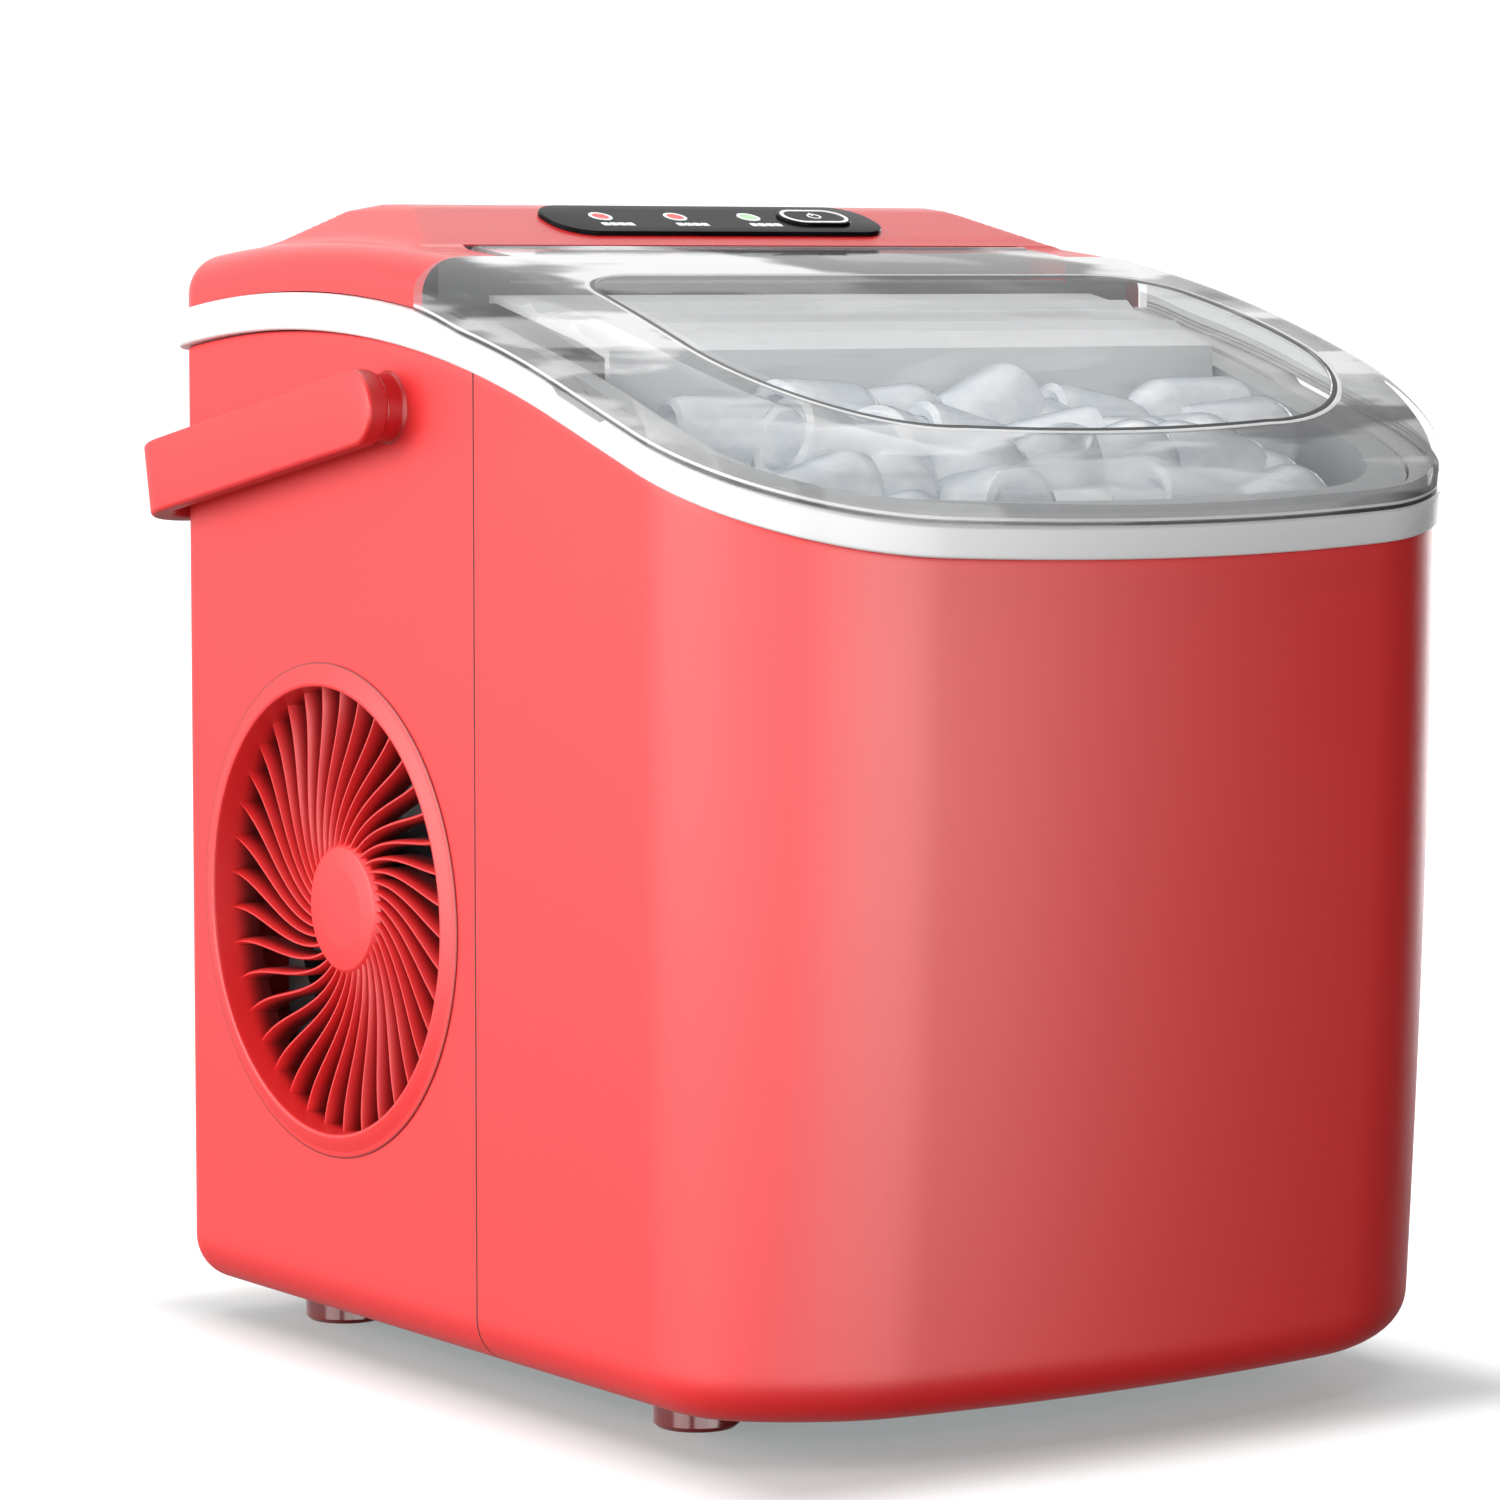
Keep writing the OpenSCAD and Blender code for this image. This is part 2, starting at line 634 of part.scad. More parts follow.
module water_tray() {
    color("white") {
        difference() {
            box(-tray_half, tray_half, tray_axis_y - 30, tray_axis_y + 2, 154, 178);
            box(-tray_half + 1.8, tray_half - 1.8, tray_axis_y - 28.2, tray_axis_y + 0.2, 155.8, 180);
        }
        rod_x(tray_axis_y, tray_axis_z, -86, -tray_half + 1, 3);
        rod_x(tray_axis_y, tray_axis_z, tray_half - 1, 82, 3);
    }
}
module tray_motor() {
    color("white") difference() {
        union() {
            box(75, 92.4, tray_axis_y - 18, tray_axis_y + 16, 159, 193);
            rod_x(tray_axis_y + 1, tray_axis_z, 73, 75.1, 9);
        }
        rod_x(tray_axis_y, tray_axis_z, 70, 83, 3.06);
    }
}
shovel_y = tray_axis_y - 34.5;
shovel_z = 178;
module ice_shovel() {
    color("white") difference() {
        union() {
            rod_x(shovel_y, shovel_z, -74, 74, 2.6);
            box(-70, 70, shovel_y - 1, shovel_y + 1, 157, shovel_z);
        }
        for (x = [-63:14:63]) box(x - 4.4, x + 4.4, shovel_y - 5, shovel_y + 5, 150, 168);
        rod_x(shovel_y, shovel_z, -80, -66, 1.35);
        rod_x(shovel_y, shovel_z, 66, 80, 1.35);
    }
}
// Grey cover over the evaporator, with two ribs along its top
module evaporator_cover() {
    front = wing_y - 56;
    color("lightgray") along_x(184) polygon([[front, 214], [front + 2, 256], [front + 14, 260],
        [front + 17, 262.4], [front + 21, 261.6], [front + 34, 265], [front + 37, 267.4],
        [front + 41, 266.6], [wing_y - 3.5, 269], [wing_y + 8, 269], [wing_y + 8, 267],
        [wing_y - 3.5, 267], [front + 36, 263], [front + 15, 258], [front + 4, 254.4],
        [front + 2, 214]]);
}

pump_y = wing_y - 24.5;
module water_pump() {
    color("dimgray") {
        rod(-70, pump_y, liner_floor + liner_wall, 92, 15);
        rod(-70, pump_y, 91.9, 97, 9);
        rod_y(-70, 72, pump_y - 20, pump_y, 4);
    }
}
module water_hose() {
    color("ghostwhite") difference() {
        pipe([[-70, pump_y, 97.1], [-70, pump_y, 112], [-80, wing_y - 12, 126],
            [-80, wing_y - 12, 186], [-66, finger_y + 8, 188], [-66, finger_y + 5, 182]], 3.2);
        rod(-70, pump_y, 90, 104, 1.8);
    }
}
module water_level_sensor() {
    color("silver") for (x = [60, 70]) rod(x, wing_y - 9.5, 70, 118, 1.4);
    color("white") box(54, 76, wing_y - 12, liner_rear - liner_wall, 118, 132);
}
module ice_full_sensors() {
    color("black") for (s = [-1, 1]) translate([s * 92.2, 0, 0])
        box(-2.5, 2.5, basket_rear + 4, basket_rear + 16, 206, 214);
}

compressor_x = 34;
compressor_y = rear_y - 58;
stub_z = 140;
module compressor() {
    color("black") translate([compressor_x, compressor_y, 0]) {
        rotate_extrude($fn = 96) polygon(concat([[0, 26]], arc(compressor_r - 18, 44, 18, 270, 360, 6),
            [[compressor_r, 92], [compressor_r + 1.6, 93], [compressor_r + 1.6, 97], [compressor_r, 98]],
            arc(compressor_r - 22, 114, 22, 0, 90, 6), [[0, 136]]));
        difference() {
            box(-54, 54, -30, 30, 21, 24);
            for (x = [-46, 46], y = [-22, 22]) rod(x, y, 10, 40, 5.1);
        }
        rod(0, 0, 23.5, 32, 30);
    }
    color("dimgray") box(compressor_x + 44, compressor_x + 58, compressor_y - 14, compressor_y + 14,
        60, 88);
    color("peru") for (s = [-1, 1]) rod(compressor_x + s * 20, compressor_y - s * 26, 120, stub_z, 3.6);
}
module compressor_mounts() {
    color("black") for (x = [-46, 46], y = [-22, 22]) translate([compressor_x + x, compressor_y + y, 0])
        rotate_extrude() polygon([[0, ground_gap + wall + 2.2], [8, ground_gap + wall + 2.2],
            [8, 20.9], [5, 20.9], [5, 24.1], [7.4, 24.1], [7.4, 27], [0, 27]]);
}
condenser_x = -49;
module condenser() {
    color("silver") {
        for (i = [0:condenser_fins - 1]) let (z = 66 + i * 94 / (condenser_fins - 1))
            box(condenser_x - 11, condenser_x + 11, vent_y - 46, vent_y + 46, z - 0.4, z + 0.4);
        for (y = [-38, -13, 13, 38]) rod(condenser_x, vent_y + y, 60, 165, 3);
        box(condenser_x - 11, condenser_x + 11, vent_y - 48, vent_y - 46, 60, 165);
        box(condenser_x - 11, condenser_x + 11, vent_y + 46, vent_y + 48, 60, 165);
    }
}
fan_x = -85;
fan_r = 42;
module fan_shroud() {
    color("darkslategray") difference() {
        union() {
            difference() {
                translate([fan_x - 10, vent_y, vent_z]) rotate([0, 90, 0]) linear_extrude(20)
                    translate([-48, -48]) rounded(96, 96, 6);
                rod_x(vent_y, vent_z, fan_x - 20, fan_x + 20, fan_r + 2);
            }
            intersection() {
                rod_x(vent_y, vent_z, fan_x + 7, fan_x + 10, fan_r + 3);
                for (a = [45, 135]) translate([fan_x + 8.5, vent_y, vent_z]) rotate([a, 0, 0])
                    cube([3, 110, 7], center = true);
            }
        }
        rod_x(vent_y, vent_z, fan_x, fan_x + 20, 17.9);
    }
}
module fan_motor() {
    color("black") difference() {
        union() {
            rod_x(vent_y, vent_z, fan_x + 4, fan_x + 22, 17.8);
            rod_x(vent_y, vent_z, fan_x + 10.1, fan_x + 12, 22);
        }
        rod_x(vent_y, vent_z, fan_x - 4, fan_x + 18, 1.66);
    }
}
module fan_blade() {
    color("dimgray") intersection() {
        union() {
            rod_x(vent_y, vent_z, fan_x - 8, fan_x + 2, 19);
            rod_x(vent_y, vent_z, fan_x, fan_x + 17, 1.6);
            for (k = [0:6]) translate([fan_x - 3, vent_y, vent_z]) rotate([k * 360 / 7, 0, 0])
                translate([0, 0, 29]) rotate([0, 0, 32]) cube([1.6, 20, 27], center = true);
        }
        rod_x(vent_y, vent_z, fan_x - 9, fan_x + 18, fan_r);
    }
}
module hot_gas_valve() {
    color("steelblue") {
        rod(-22, rear_y - 26, 62, 70, 6);
        rod(-22, rear_y - 26, 70, 94, 11);
        rod(-22, rear_y - 26, 94, 98, 4);
    }
    color("chocolate") rod(-22, rear_y - 26, 40, 62.1, 3);
}
module filter_drier() {
    color("peru") translate([-20, wing_y + 22, 0]) rotate_extrude() polygon([[0, 52], [3, 52], [3, 62],
        [8, 70], [8, 122], [3, 130], [3, 140], [0, 140]]);
}
module discharge_tube() {
    color("peru") pipe([[compressor_x - 20, compressor_y + 26, stub_z + 0.05],
        [compressor_x - 20, compressor_y + 26, 172], [condenser_x, vent_y + 38, 172],
        [condenser_x, vent_y + 38, 165.1]], 2.6);
}
module suction_tube() {
    color("peru") pipe([[compressor_x + 20, compressor_y - 26, stub_z + 0.05],
        [compressor_x + 20, compressor_y - 26, 180], [tube_x, liner_rear + 24, tube_z],
        [tube_x, liner_rear + 12.1, tube_z]], 2.6);
}
module capillary_tube() {
    color("peru") pipe([[-20, wing_y + 22, 140.05], [-20, wing_y + 22, 168],
        [-tube_x, liner_rear + 24, tube_z], [-tube_x, liner_rear + 12.1, tube_z]], 2);
}
module power_board() {
    color("darkgreen") box(20, 108, rear_y - 76, rear_y - 12, 196, 197.6);
    color("black") box(30, 52, rear_y - 66, rear_y - 44, 197.5, 216);
    color("gold") box(62, 80, rear_y - 60, rear_y - 40, 197.5, 210);
    color("silver") rod(88, rear_y - 30, 197.5, 214, 6);
}
module cord_gland() {
    color("black") difference() {
        union() {
            rod_y(gland_x, gland_z, rear_y - 8, rear_y + 1, 8.9);
            rod_y(gland_x, gland_z, rear_y + 0.02, rear_y + 3, 12);
            rod_y(gland_x, gland_z, rear_y + 2.9, rear_y + 9, 6.5);
        }
        rod_y(gland_x, gland_z, rear_y - 10, rear_y + 12, 3.7);
    }
}

base_pan();
front_shell();
rear_shell();
trim_band();
top_cover();
control_panel();
indicator_lights();
power_button();
lid_hinge_pins();
lid();
lid_window();
left_vent_grille();
right_vent_grille();
left_handle_pivot();
right_handle_pivot();
carry_handle();
foot_front_left();
foot_front_right();
foot_rear_left();
foot_rear_right();
inner_liner();
insulation();
ice_basket();
evaporator();
evaporator_bracket();
evaporator_cover();
water_tray();
ice_shovel();
tray_motor();
water_pump();
water_hose();
water_level_sensor();
ice_full_sensors();
compressor();
compressor_mounts();
condenser();
fan_shroud();
fan_motor();
fan_blade();
hot_gas_valve();
filter_drier();
discharge_tube();
suction_tube();
capillary_tube();
control_board();
power_board();
cord_gland();
casing_screws();
drain_fitting();
drain_plug();
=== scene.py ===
import math

import bmesh
import bpy
import numpy as np
from mathutils import Matrix


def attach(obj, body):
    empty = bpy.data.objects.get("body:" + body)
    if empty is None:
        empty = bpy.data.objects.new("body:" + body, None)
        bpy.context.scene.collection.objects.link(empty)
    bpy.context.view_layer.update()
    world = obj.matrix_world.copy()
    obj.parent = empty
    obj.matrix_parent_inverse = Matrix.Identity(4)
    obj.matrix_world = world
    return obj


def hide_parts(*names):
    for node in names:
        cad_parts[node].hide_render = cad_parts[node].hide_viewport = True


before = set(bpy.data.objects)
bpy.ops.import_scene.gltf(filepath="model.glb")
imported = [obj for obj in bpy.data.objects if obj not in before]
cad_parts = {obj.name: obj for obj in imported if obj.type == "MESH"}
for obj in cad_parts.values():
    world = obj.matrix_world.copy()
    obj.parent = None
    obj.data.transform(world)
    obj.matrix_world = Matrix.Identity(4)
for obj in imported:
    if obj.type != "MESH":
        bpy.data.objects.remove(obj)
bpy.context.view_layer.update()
scene = bpy.context.scene

# ---------------------------------------------------------------------------
# Casing: two satin red mouldings of hard plastic, screwed together at a seam round
# the body. The bottom edge is round, the front draws back towards its foot, and the
# rear moulding has a round hole on each side for a vent.
# ---------------------------------------------------------------------------
PI = math.pi
# Sizes in millimetres: half the width, the depth, and the height of the base above the table
HALF, DEPTH, GROUND = 111.0, 280.4, 9.0
# Places along y: the rear wall, the front, the seam of the two mouldings and the lid's rear end
REAR = 134.719
FRONT = REAR - DEPTH
SEAM = FRONT + 132.1
WING = REAR - 125.0
# Plan: the front is a wide arc that turns through BULGE and runs into the round corners
BULGE_R, BULGE = 454.0, math.radians(8.2)
CORNER_R = (HALF - BULGE_R * math.sin(BULGE)) / (1 - math.sin(BULGE))
CORNER_Y = FRONT + BULGE_R * (1 - math.cos(BULGE)) + CORNER_R * math.cos(BULGE)
# Radii of the rear corners and of the rounded bottom edge
REAR_R, BASE_R = 10.0, 12.0
# Top edge, seen from the side: an arch about its crest, which a straight slope continues
CREST_Y, CREST_Z, ARCH_R = REAR - 66.7, 260.2, 378.0
SLOPE = math.radians(18.5)
RUN = ARCH_R * math.sin(SLOPE)
# Depth of the fine joint between two mouldings, and how far the front draws back below DRAW_TOP
LIFT = 0.3
DRAW, DRAW_TOP = 10.4, 209.6
# Centre and radius of the vents' holes
VENT_Y, VENT_Z, HOLE_R = REAR - 77.5, 114.1, 61.0


def ease(t):
    """0 to 1 with level ends: t*t*(3 - 2t)."""
    t = np.clip(t, 0.0, 1.0)
    return t * t * (3 - 2 * t)


def half_outline(side):
    """Right half of the plan from front centre to rear centre: columns of x, y, nx, ny.

    Arcs are centre + r (sin a, -cos a); side gives the y values along the straight side.
    """
    a = np.linspace(0, BULGE, 15)[:-1]
    front = [BULGE_R * np.sin(a), FRONT + BULGE_R - BULGE_R * np.cos(a), np.sin(a), -np.cos(a)]
    a = np.linspace(BULGE, PI / 2, 40)
    corner = [HALF - CORNER_R + CORNER_R * np.sin(a), CORNER_Y - CORNER_R * np.cos(a), np.sin(a), -np.cos(a)]
    one = np.ones_like(side)
    straight = [HALF * one, side, one, 0 * one]
    a = np.linspace(0, PI / 2, 14)
    rear = [HALF - REAR_R + REAR_R * np.cos(a), REAR - REAR_R + REAR_R * np.sin(a), np.cos(a), np.sin(a)]
    x = np.linspace(HALF - REAR_R, 0, 24)[1:]
    back = [x, REAR + 0 * x, 0 * x, 0 * x + 1]
    return np.concatenate([np.array(part) for part in (front, corner, straight, rear, back)], axis=1).T


def mirrored(columns):
    """The outline's left half, from the far end back to the start."""
    return columns[::-1] * np.array([-1, 1, -1, 1])


# The straight side has a point on each side of the seam and of the lid's rear end
SIDE_Y = np.unique(np.concatenate([
    np.linspace(CORNER_Y, SEAM - 0.25, 30)[1:], np.linspace(SEAM + 0.25, REAR - REAR_R, 62)[:-1],
    [WING - 0.3, WING + 0.01]]))
OUTLINE = half_outline(SIDE_Y)


def band_z(y):
    """Lower edge of the white band: an arch sqrt(R^2 - d^2) that runs on as a straight slope."""
    d = y - CREST_Y
    arch = np.sqrt(ARCH_R ** 2 - np.clip(d, -RUN, RUN) ** 2) - ARCH_R
    return CREST_Z + arch + np.where(d < -RUN, (d + RUN) * math.tan(SLOPE), 0)


def lean(y, z):
    """How far the front draws back at height z: DRAW t^2, fading out round the front corners."""
    t = np.clip((DRAW_TOP - z) / (DRAW_TOP - GROUND), 0, 1)
    return DRAW * t * t * ease((CORNER_Y - y) / (CORNER_Y - FRONT - 9))


def wall_rows(columns, drops):
    """Grid over the wall: from the inside of the upper edge, down the wall and round the bottom.

    Each row has an inset and a height. Along the wall z runs evenly from the top edge to the
    knee; the round below it is inset by r (1 - cos a) and drops by r sin a.
    """
    x, y, nx, ny = columns.T
    top = band_z(y) - LIFT
    base = GROUND + 0 * y
    knee = GROUND + BASE_R
    rows = [(2.6, top - 14), (2.6, top - 0.4), (2.2, top), (0.5, top), (0.15, top - 0.15), (0, top - 0.5)]
    rows += [(0, top - 0.5 + (knee - top + 0.5) * f) for f in np.linspace(0, 1, 96)[1:]]
    for a in np.linspace(0, PI / 2, 13)[1:]:
        rows.append((BASE_R * (1 - math.cos(a)), knee - BASE_R * math.sin(a) + 0 * y))
    rows += [(18, base), (21, base), (21.3, base + 0.4), (21.3, base + 2.6)]
    grid = []
    for inset, z in rows:
        total = inset + drops
        grid.append(np.stack([x - nx * total, y - ny * total + lean(y, z), z], -1))
    return np.array(grid)


def grid_faces(rows, cols, wrap_u=False, wrap_v=False, flip=False):
    """Quads of a grid of rows x cols points stored row by row, counter-clockwise as u then v grow."""
    r = np.arange(rows if wrap_v else rows - 1)[:, None]
    c = np.arange(cols if wrap_u else cols - 1)[None, :]
    r2, c2 = (r + 1) % rows, (c + 1) % cols
    quads = np.stack([r * cols + c, r * cols + c2, r2 * cols + c2, r2 * cols + c], -1).reshape(-1, 4)
    return quads[:, ::-1] if flip else quads


def add_mesh(name, points, faces, material, body="machine", replaces=(), sharp=35.0, merge=True):
    """A mesh object from points in millimetres and faces, which moves with a CAD body."""
    mesh = bpy.data.meshes.new(name)
    mesh.from_pydata((points * 0.001).tolist(), [], faces.tolist())
    if merge:
        work = bmesh.new()
        work.from_mesh(mesh)
        bmesh.ops.remove_doubles(work, verts=work.verts, dist=2e-6)
        bmesh.ops.dissolve_degenerate(work, edges=work.edges, dist=1e-7)
        work.to_mesh(mesh)
        work.free()
    mesh.shade_smooth()
    mesh.set_sharp_from_angle(angle=math.radians(sharp))
    mesh.materials.append(material)
    obj = bpy.data.objects.new(name, mesh)
    scene.collection.objects.link(obj)
    if body:
        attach(obj, body)
    if replaces:
        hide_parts(*replaces)
    return obj


class Build:
    """Collects grids of points into one mesh."""

    def __init__(self):
        self.points = np.zeros((0, 3))
        self.faces = np.zeros((0, 4), int)

    def grid(self, points, wrap_u=False, wrap_v=False, flip=False, keep=None):
        """Adds a grid of points (rows, cols, 3); keep tells which of its points survive."""
        faces = grid_faces(points.shape[0], points.shape[1], wrap_u, wrap_v, flip)
        if keep is not None:
            faces = faces[keep.reshape(-1)[faces].any(axis=1)]
        self.faces = np.concatenate([self.faces, faces + len(self.points)])
        self.points = np.concatenate([self.points, points.reshape(-1, 3)])
        return self

    def make(self, name, material, **more):
        return add_mesh(name, self.points, self.faces, material, **more)


class Value:
    """A shader output; arithmetic on it adds math nodes."""

    def __init__(self, net, socket):
        self.net = net
        self.socket = socket

    def op(self, name, *others):
        return self.net.node("ShaderNodeMath", {"operation": name}, dict(enumerate((self,) + others)))

    def __add__(self, other):
        return self.op("ADD", other)

    def __sub__(self, other):
        return self.op("SUBTRACT", other)

    def __rsub__(self, other):
        return self.net.node("ShaderNodeMath", {"operation": "SUBTRACT"}, {0: other, 1: self})

    def __mul__(self, other):
        return self.op("MULTIPLY", other)


    def over(self, low, high, to_low=0.0, to_high=1.0):
        """This value mapped smoothly from low..high to to_low..to_high, held at both ends."""
        settings = {"interpolation_type": "SMOOTHSTEP", "clamp": True}
        sockets = {0: self, 1: low, 2: high, 3: to_low, 4: to_high}
        return self.net.node("ShaderNodeMapRange", settings, sockets)


class Net:
    """A material and its node tree."""

    def __init__(self, name):
        self.material = bpy.data.materials.new(name)
        self.material.use_nodes = True
        self.tree = self.material.node_tree
        self.bsdf = self.tree.nodes["Principled BSDF"]
        coordinates = self.tree.nodes.new("ShaderNodeTexCoord")
        self.point = Value(self, coordinates.outputs["Object"])

    def put(self, node, key, value):
        if isinstance(value, Value):
            self.tree.links.new(value.socket, node.inputs[key])
        else:
            node.inputs[key].default_value = value

    def node(self, kind, settings, sockets, output=0):
        node = self.tree.nodes.new(kind)
        for key, value in settings.items():
            setattr(node, key, value)
        for key, value in sockets.items():
            self.put(node, key, value)
        return Value(self, node.outputs[output])

    def part(self, axis):
        """The object coordinate along axis 0, 1 or 2, in metres."""
        return self.node("ShaderNodeSeparateXYZ", {}, {0: self.point}, axis)

    def noise(self, scale, detail=3.0, stretch=(1, 1, 1)):
        vector = self.node("ShaderNodeMapping", {}, {"Vector": self.point, "Scale": stretch})
        return self.node("ShaderNodeTexNoise", {}, {"Vector": vector, "Scale": scale, "Detail": detail})

    def mix(self, factor, a, b):
        return self.node("ShaderNodeMix", {"data_type": "RGBA"}, {0: factor, 6: a, 7: b}, 2)

    def bump(self, height, strength, distance):
        sockets = {"Height": height, "Strength": strength, "Distance": distance}
        return self.node("ShaderNodeBump", {}, sockets)

    def set(self, **sockets):
        for key, value in sockets.items():
            self.put(self.bsdf, key.replace("_", " "), value)
        return self.material


def colour(r, g, b):
    return (r, g, b, 1.0)


def plastic(name, base, deep, gloss, marked=None, marks=None, grain=0.00003, size=2600.0, **more):
    """Plastic with a fine grain and slow, faint changes of tone and of gloss, from low to high.

    Where the mask given is 1, in a dark joint, or as painted shade in a recess or on an edge, it has the
    colour marks.
    """
    net = Net(name)
    slow = net.noise(9.0, 2.0)
    fine = net.noise(size, 2.0)
    tone = net.mix(slow.over(0.3, 0.7, 0.0, 0.25), base, deep)
    if marked:
        tone = net.mix(marked(net), tone, marks)
    roughness = slow.over(0.2, 0.8, *gloss) + (fine - 0.5) * 0.03
    return net.set(Base_Color=tone, Roughness=roughness, Normal=net.bump(fine, 0.35, grain), **more)


def red_casing(name, marked, marks=colour(0.09, 0.002, 0.003)):
    """Satin red plastic with its dark joints, or with painted shade in its recesses or on its edges."""
    base, deep = colour(0.74, 0.014, 0.016), colour(0.68, 0.01, 0.012)
    return plastic(name, base, deep, (0.43, 0.48), marked, marks, Specular_IOR_Level=0.65)


def seam_line(net):
    """1 within 0.3 mm of the seam."""
    return 1 - (net.part(1) - SEAM * 0.001).op("ABSOLUTE").over(0.00022, 0.0004)


red_walls = red_casing("satin red walls", seam_line)


def casing_part(name, columns, node, ahead):
    """A moulding whose ends turn in beside the seam; points just inside a vent's hole go to its edge."""
    edge = np.array([3.0, 0.5, 0.1])
    ends = np.concatenate([np.repeat(columns[:1], 3, 0), columns, np.repeat(columns[-1:], 3, 0)])
    drops = np.concatenate([edge, np.zeros(len(columns)), edge[::-1]])
    for k, shift in enumerate((0.15, 0.15, 0.05)):
        ends[[k, -1 - k], 1] += ahead * shift
    grid = wall_rows(ends, drops)
    centre = np.array([VENT_Y, VENT_Z])
    d = np.hypot(grid[..., 1] - VENT_Y, grid[..., 2] - VENT_Z)
    on_side = (np.abs(grid[..., 0]) > HALF - 0.01) & (node == "rear_shell")
    near = on_side & (d < HOLE_R) & (d > HOLE_R - 4)
    on_edge = centre + (grid[..., 1:] - centre) * (HOLE_R / np.maximum(d, 1e-3))[..., None]
    grid[..., 1:] = np.where(near[..., None], on_edge, grid[..., 1:])
    keep = ~(on_side & (d < HOLE_R - 0.01))
    Build().grid(grid, flip=True, keep=keep).make(name, red_walls, replaces=[node], merge=False)


front_half = OUTLINE[OUTLINE[:, 1] <= SEAM - 0.1]
rear_half = OUTLINE[OUTLINE[:, 1] >= SEAM + 0.1]
casing_part("front_casing", np.concatenate([mirrored(front_half), front_half[1:]]), "front_shell", 1)
casing_part("rear_casing", np.concatenate([rear_half, mirrored(rear_half)[1:]]), "rear_shell", -1)

# ---------------------------------------------------------------------------
# White band: one satin white moulding that clips over the casing's top edge all
# round. Its section is a flat strip with small rounded edges, and it has a shallow
# finger notch under the lid's edge on each side.
# ---------------------------------------------------------------------------


def moulded(name, base, deep, roughness, coat=0.0, **more):
    """Plain plastic whose roughness varies by 6% to either side, under a coat if it has one."""
    gloss = (roughness * 0.94, roughness * 1.06)
    return plastic(name, base, deep, gloss, Coat_Weight=coat, Coat_Roughness=0.08, **more)


white = moulded("satin white plastic", colour(0.78, 0.78, 0.78), colour(0.74, 0.74, 0.75), 0.35)
band_half = np.concatenate([mirrored(OUTLINE)[:-1], OUTLINE[:-1]])
band_x, band_y, band_nx, band_ny = band_half.T
NOTCH_FRONT, NOTCH_REAR = WING - 84, WING - 62


def band_top(y):
    """Upper edge of the band: 7.8 mm above the lower one, and 1.6 mm more behind the lid."""
    return band_z(y) + 7.8 + 1.6 * ease((y - WING + 25) / 25)


def band_grid():
    """Section of the band at each point of the outline: out 2.6, edges rounded by 0.9.

    Each point of the section has an inset, a level (0 lower edge, 1 upper edge) and a rise.
    """
    arc = np.linspace(0, PI / 2, 6)
    section = [(5.8, 0.0, 0.0), (0.2, 0.0, 0.0)]
    section += [(-1.7 - 0.9 * math.sin(a), 0.0, 0.9 - 0.9 * math.cos(a)) for a in arc]
    section += [(-1.7 - 0.9 * math.cos(a), 1.0, -0.9 + 0.9 * math.sin(a)) for a in arc]
    section += [(0.5, 1.0, 0.0), (5.8, 1.0, 0.0)]
    notch = ease((band_y - NOTCH_FRONT) / 2.0) * ease((NOTCH_REAR - band_y) / 2.0)
    rows = []
    for inset, level, rise in section:
        x, y = band_x - band_nx * inset, band_y - band_ny * inset
        z = band_z(y) * (1 - level) + (band_top(y) - 1.5 * notch) * level + rise
        rows.append(np.stack([x, y, z], -1))
    return np.array(rows)


Build().grid(band_grid(), wrap_u=True, wrap_v=True).make("white_band", white, replaces=["trim_band"])

# ---------------------------------------------------------------------------
# Rear cover: a smooth red moulding over the rear half, with a rounded edge and a
# hump whose front slope holds the control panel. A recess in front of the hump
# takes the lid's hinge.
# ---------------------------------------------------------------------------
red_gloss = moulded("smooth red plastic", colour(0.72, 0.012, 0.014), colour(0.66, 0.009, 0.011), 0.24,
                    Specular_IOR_Level=1.0)
# The foot of the hump's front slope and its crest, the panel's lower edge and its tilt
HUMP_Y, HUMP_Z = REAR - 104, 292.2
PANEL_Y, PANEL_Z = REAR - 97.9, 283.7
PANEL_TILT = math.radians(18)
# Radius of the arc along the top, and the recess's half width and floor
TOP_R = 473.0
RECESS_X, RECESS_Z = 86.5, 269.0


def soft_max(a, b, k):
    """The larger of a and b, with the crease rounded over a width k."""
    h = np.clip(0.5 + 0.5 * (a - b) / k, 0, 1)
    return b + (a - b) * h + k * h * (1 - h)


def arch(y, crest_y, crest_z):
    """Height of an arc along the machine: crest_z + sqrt(R^2 - d^2) - R, d from the crest."""
    return crest_z + np.sqrt(TOP_R ** 2 - (y - crest_y) ** 2) - TOP_R


def hump(x, y):
    """Height of the hump: a front slope, a level crest and a fall to the rear, with sloping flanks."""
    along = np.interp(
        y, [HUMP_Y - 20, HUMP_Y, PANEL_Y, PANEL_Y + 22.35, REAR - 68, REAR - 58, REAR - 46, REAR - 20],
        [262, PANEL_Z - 2.4, PANEL_Z, PANEL_Z + 7.26, HUMP_Z - 0.2, HUMP_Z - 0.1, HUMP_Z - 1.6, 277])
    across = np.interp(
        np.abs(x), [0, 82, 86, 99, 112], [HUMP_Z + 0.3, HUMP_Z + 0.1, HUMP_Z - 1.9, 281.4, 268])
    return -soft_max(-along, -across, 1.2)


